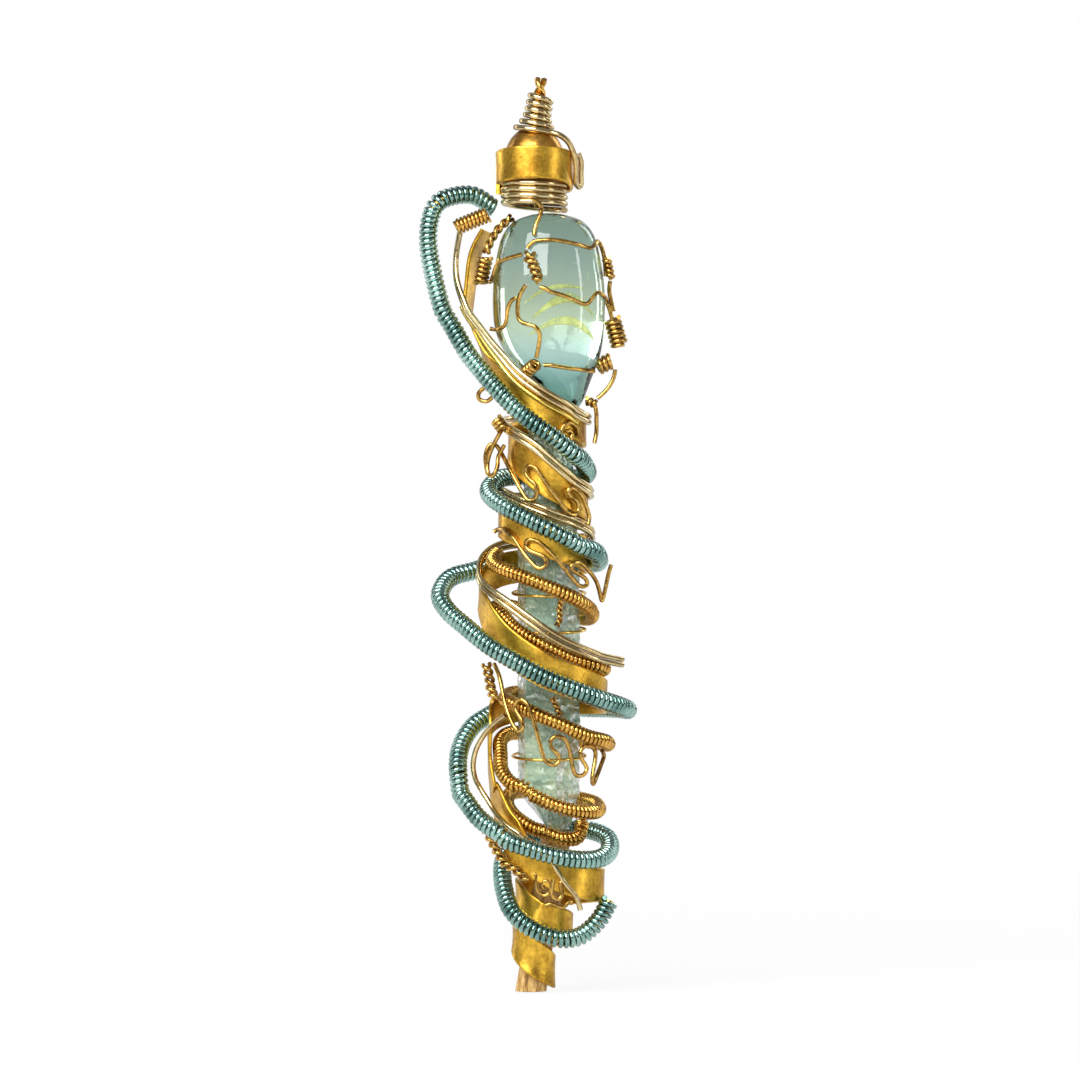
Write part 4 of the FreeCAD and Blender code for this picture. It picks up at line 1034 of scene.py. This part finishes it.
def build_paper():
    material, tree, shader = new_material("paper")
    shader.inputs["Base Color"].default_value = (0.9, 0.9, 0.9, 1.0)
    shader.inputs["Roughness"].default_value = 0.9
    glow = add(tree, "Emission")
    blend = add(tree, "MixShader")
    place = add(tree, "TexCoord")
    reach = add(tree, "VectorMath", operation="LENGTH")
    fade = add(tree, "MapRange", From_Min=SHADOW_NEAR, From_Max=SHADOW_FAR, To_Min=0.9, To_Max=1.0)
    seen = add(tree, "Math", operation="MULTIPLY")
    join(tree, place.outputs["Object"], reach.inputs[0])
    join(tree, reach.outputs["Value"], fade.inputs["Value"])
    join(tree, white_share(tree, FLOOR_MIRRORED), seen.inputs[0])
    join(tree, fade.outputs[0], seen.inputs[1])
    join(tree, seen.outputs[0], blend.inputs["Fac"])
    join(tree, shader.outputs[0], blend.inputs[1])
    join(tree, glow.outputs[0], blend.inputs[2])
    join(tree, blend.outputs[0], tree.nodes["Material Output"].inputs["Surface"])
    return material


floor_mesh.materials.append(build_paper())
print("floor:", 2 * FLOOR_HALF, "m across")

# %% [markdown]
# ## The world
#
# Metal looks like what it reflects, so the studio is dark low down and grey above, which leaves a dark
# side on each wire. Camera and transmission rays see a plain white world, and mirrored rays see the
# same white where they look towards the backdrop behind the wand.

# %% Build the world
BACKDROP_SHARE = 0.8

world = bpy.data.worlds.new("studio")
world.use_nodes = True
bpy.context.scene.world = world
sky = world.node_tree
place = add(sky, "TexCoord")
split = add(sky, "SeparateXYZ")
shade = add_ramp(sky, [
    (0.3, (0.03, 0.027, 0.024, 1)), (0.5, (0.09, 0.088, 0.085, 1)), (0.8, (0.3, 0.31, 0.32, 1)),
])
lift = add(sky, "MapRange", From_Min=-1.0, From_Max=1.0)
behind = add(sky, "MapRange", From_Min=0.55, From_Max=0.9, To_Max=BACKDROP_SHARE)
pick = add(sky, "Mix", data_type="RGBA")
pick.inputs[7].default_value = (1.0, 1.0, 1.0, 1.0)
join(sky, place.outputs["Generated"], split.inputs[0])
join(sky, split.outputs["Z"], lift.inputs["Value"])
join(sky, lift.outputs[0], shade.inputs[0])
join(sky, split.outputs["Y"], behind.inputs["Value"])
join(sky, white_share(sky, behind.outputs[0]), pick.inputs["Factor"])
join(sky, shade.outputs["Color"], pick.inputs[6])
join(sky, pick.outputs[2], sky.nodes["Background"].inputs["Color"])
print("world:", world.name, "with", len(sky.nodes), "nodes")

# %% [markdown]
# ## The lamps
#
# One broad soft box, high in front on the left, gives each wire its long highlight. Three weaker narrow
# lamps, one at the right and two behind, draw the edges. Each lamp is turned to the middle of the wand.

# %% Hang the lamps
AIM = Vector((0.0, 0.0, 70 * MM))
LAMPS = [
    ("key", (-0.24, -0.52, 0.44), 0.54, 0.42, 7.2),
    ("side", (0.48, -0.26, 0.14), 0.05, 0.50, 0.6),
    ("back_left", (-0.42, 0.26, 0.18), 0.08, 0.50, 0.5),
    ("back_right", (0.40, 0.35, 0.30), 0.12, 0.45, 0.7),
]
for name, place, width, height, power in LAMPS:
    lamp = bpy.data.lights.new(name, "AREA")
    lamp.shape = "RECTANGLE"
    lamp.size = width
    lamp.size_y = height
    lamp.energy = power
    stand = bpy.data.objects.new(name, lamp)
    stand.location = place
    stand.rotation_euler = (AIM - Vector(place)).to_track_quat("-Z", "Y").to_euler()
    bpy.context.scene.collection.objects.link(stand)
bpy.context.scene.view_settings.view_transform = "Standard"
print("lamps:", len(LAMPS))

# %% [markdown]
# ## Finish
#
# The box of the dressed wand should match the CAD model's box, so both are gathered and printed.

# %% Print the boxes
boxes = {"cad": [list(corner) for corner in cad_box], "visual": [list(corner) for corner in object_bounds()]}
for label, corners in boxes.items():
    print(label, "box in mm:", [[round(value / MM, 2) for value in corner] for corner in corners])
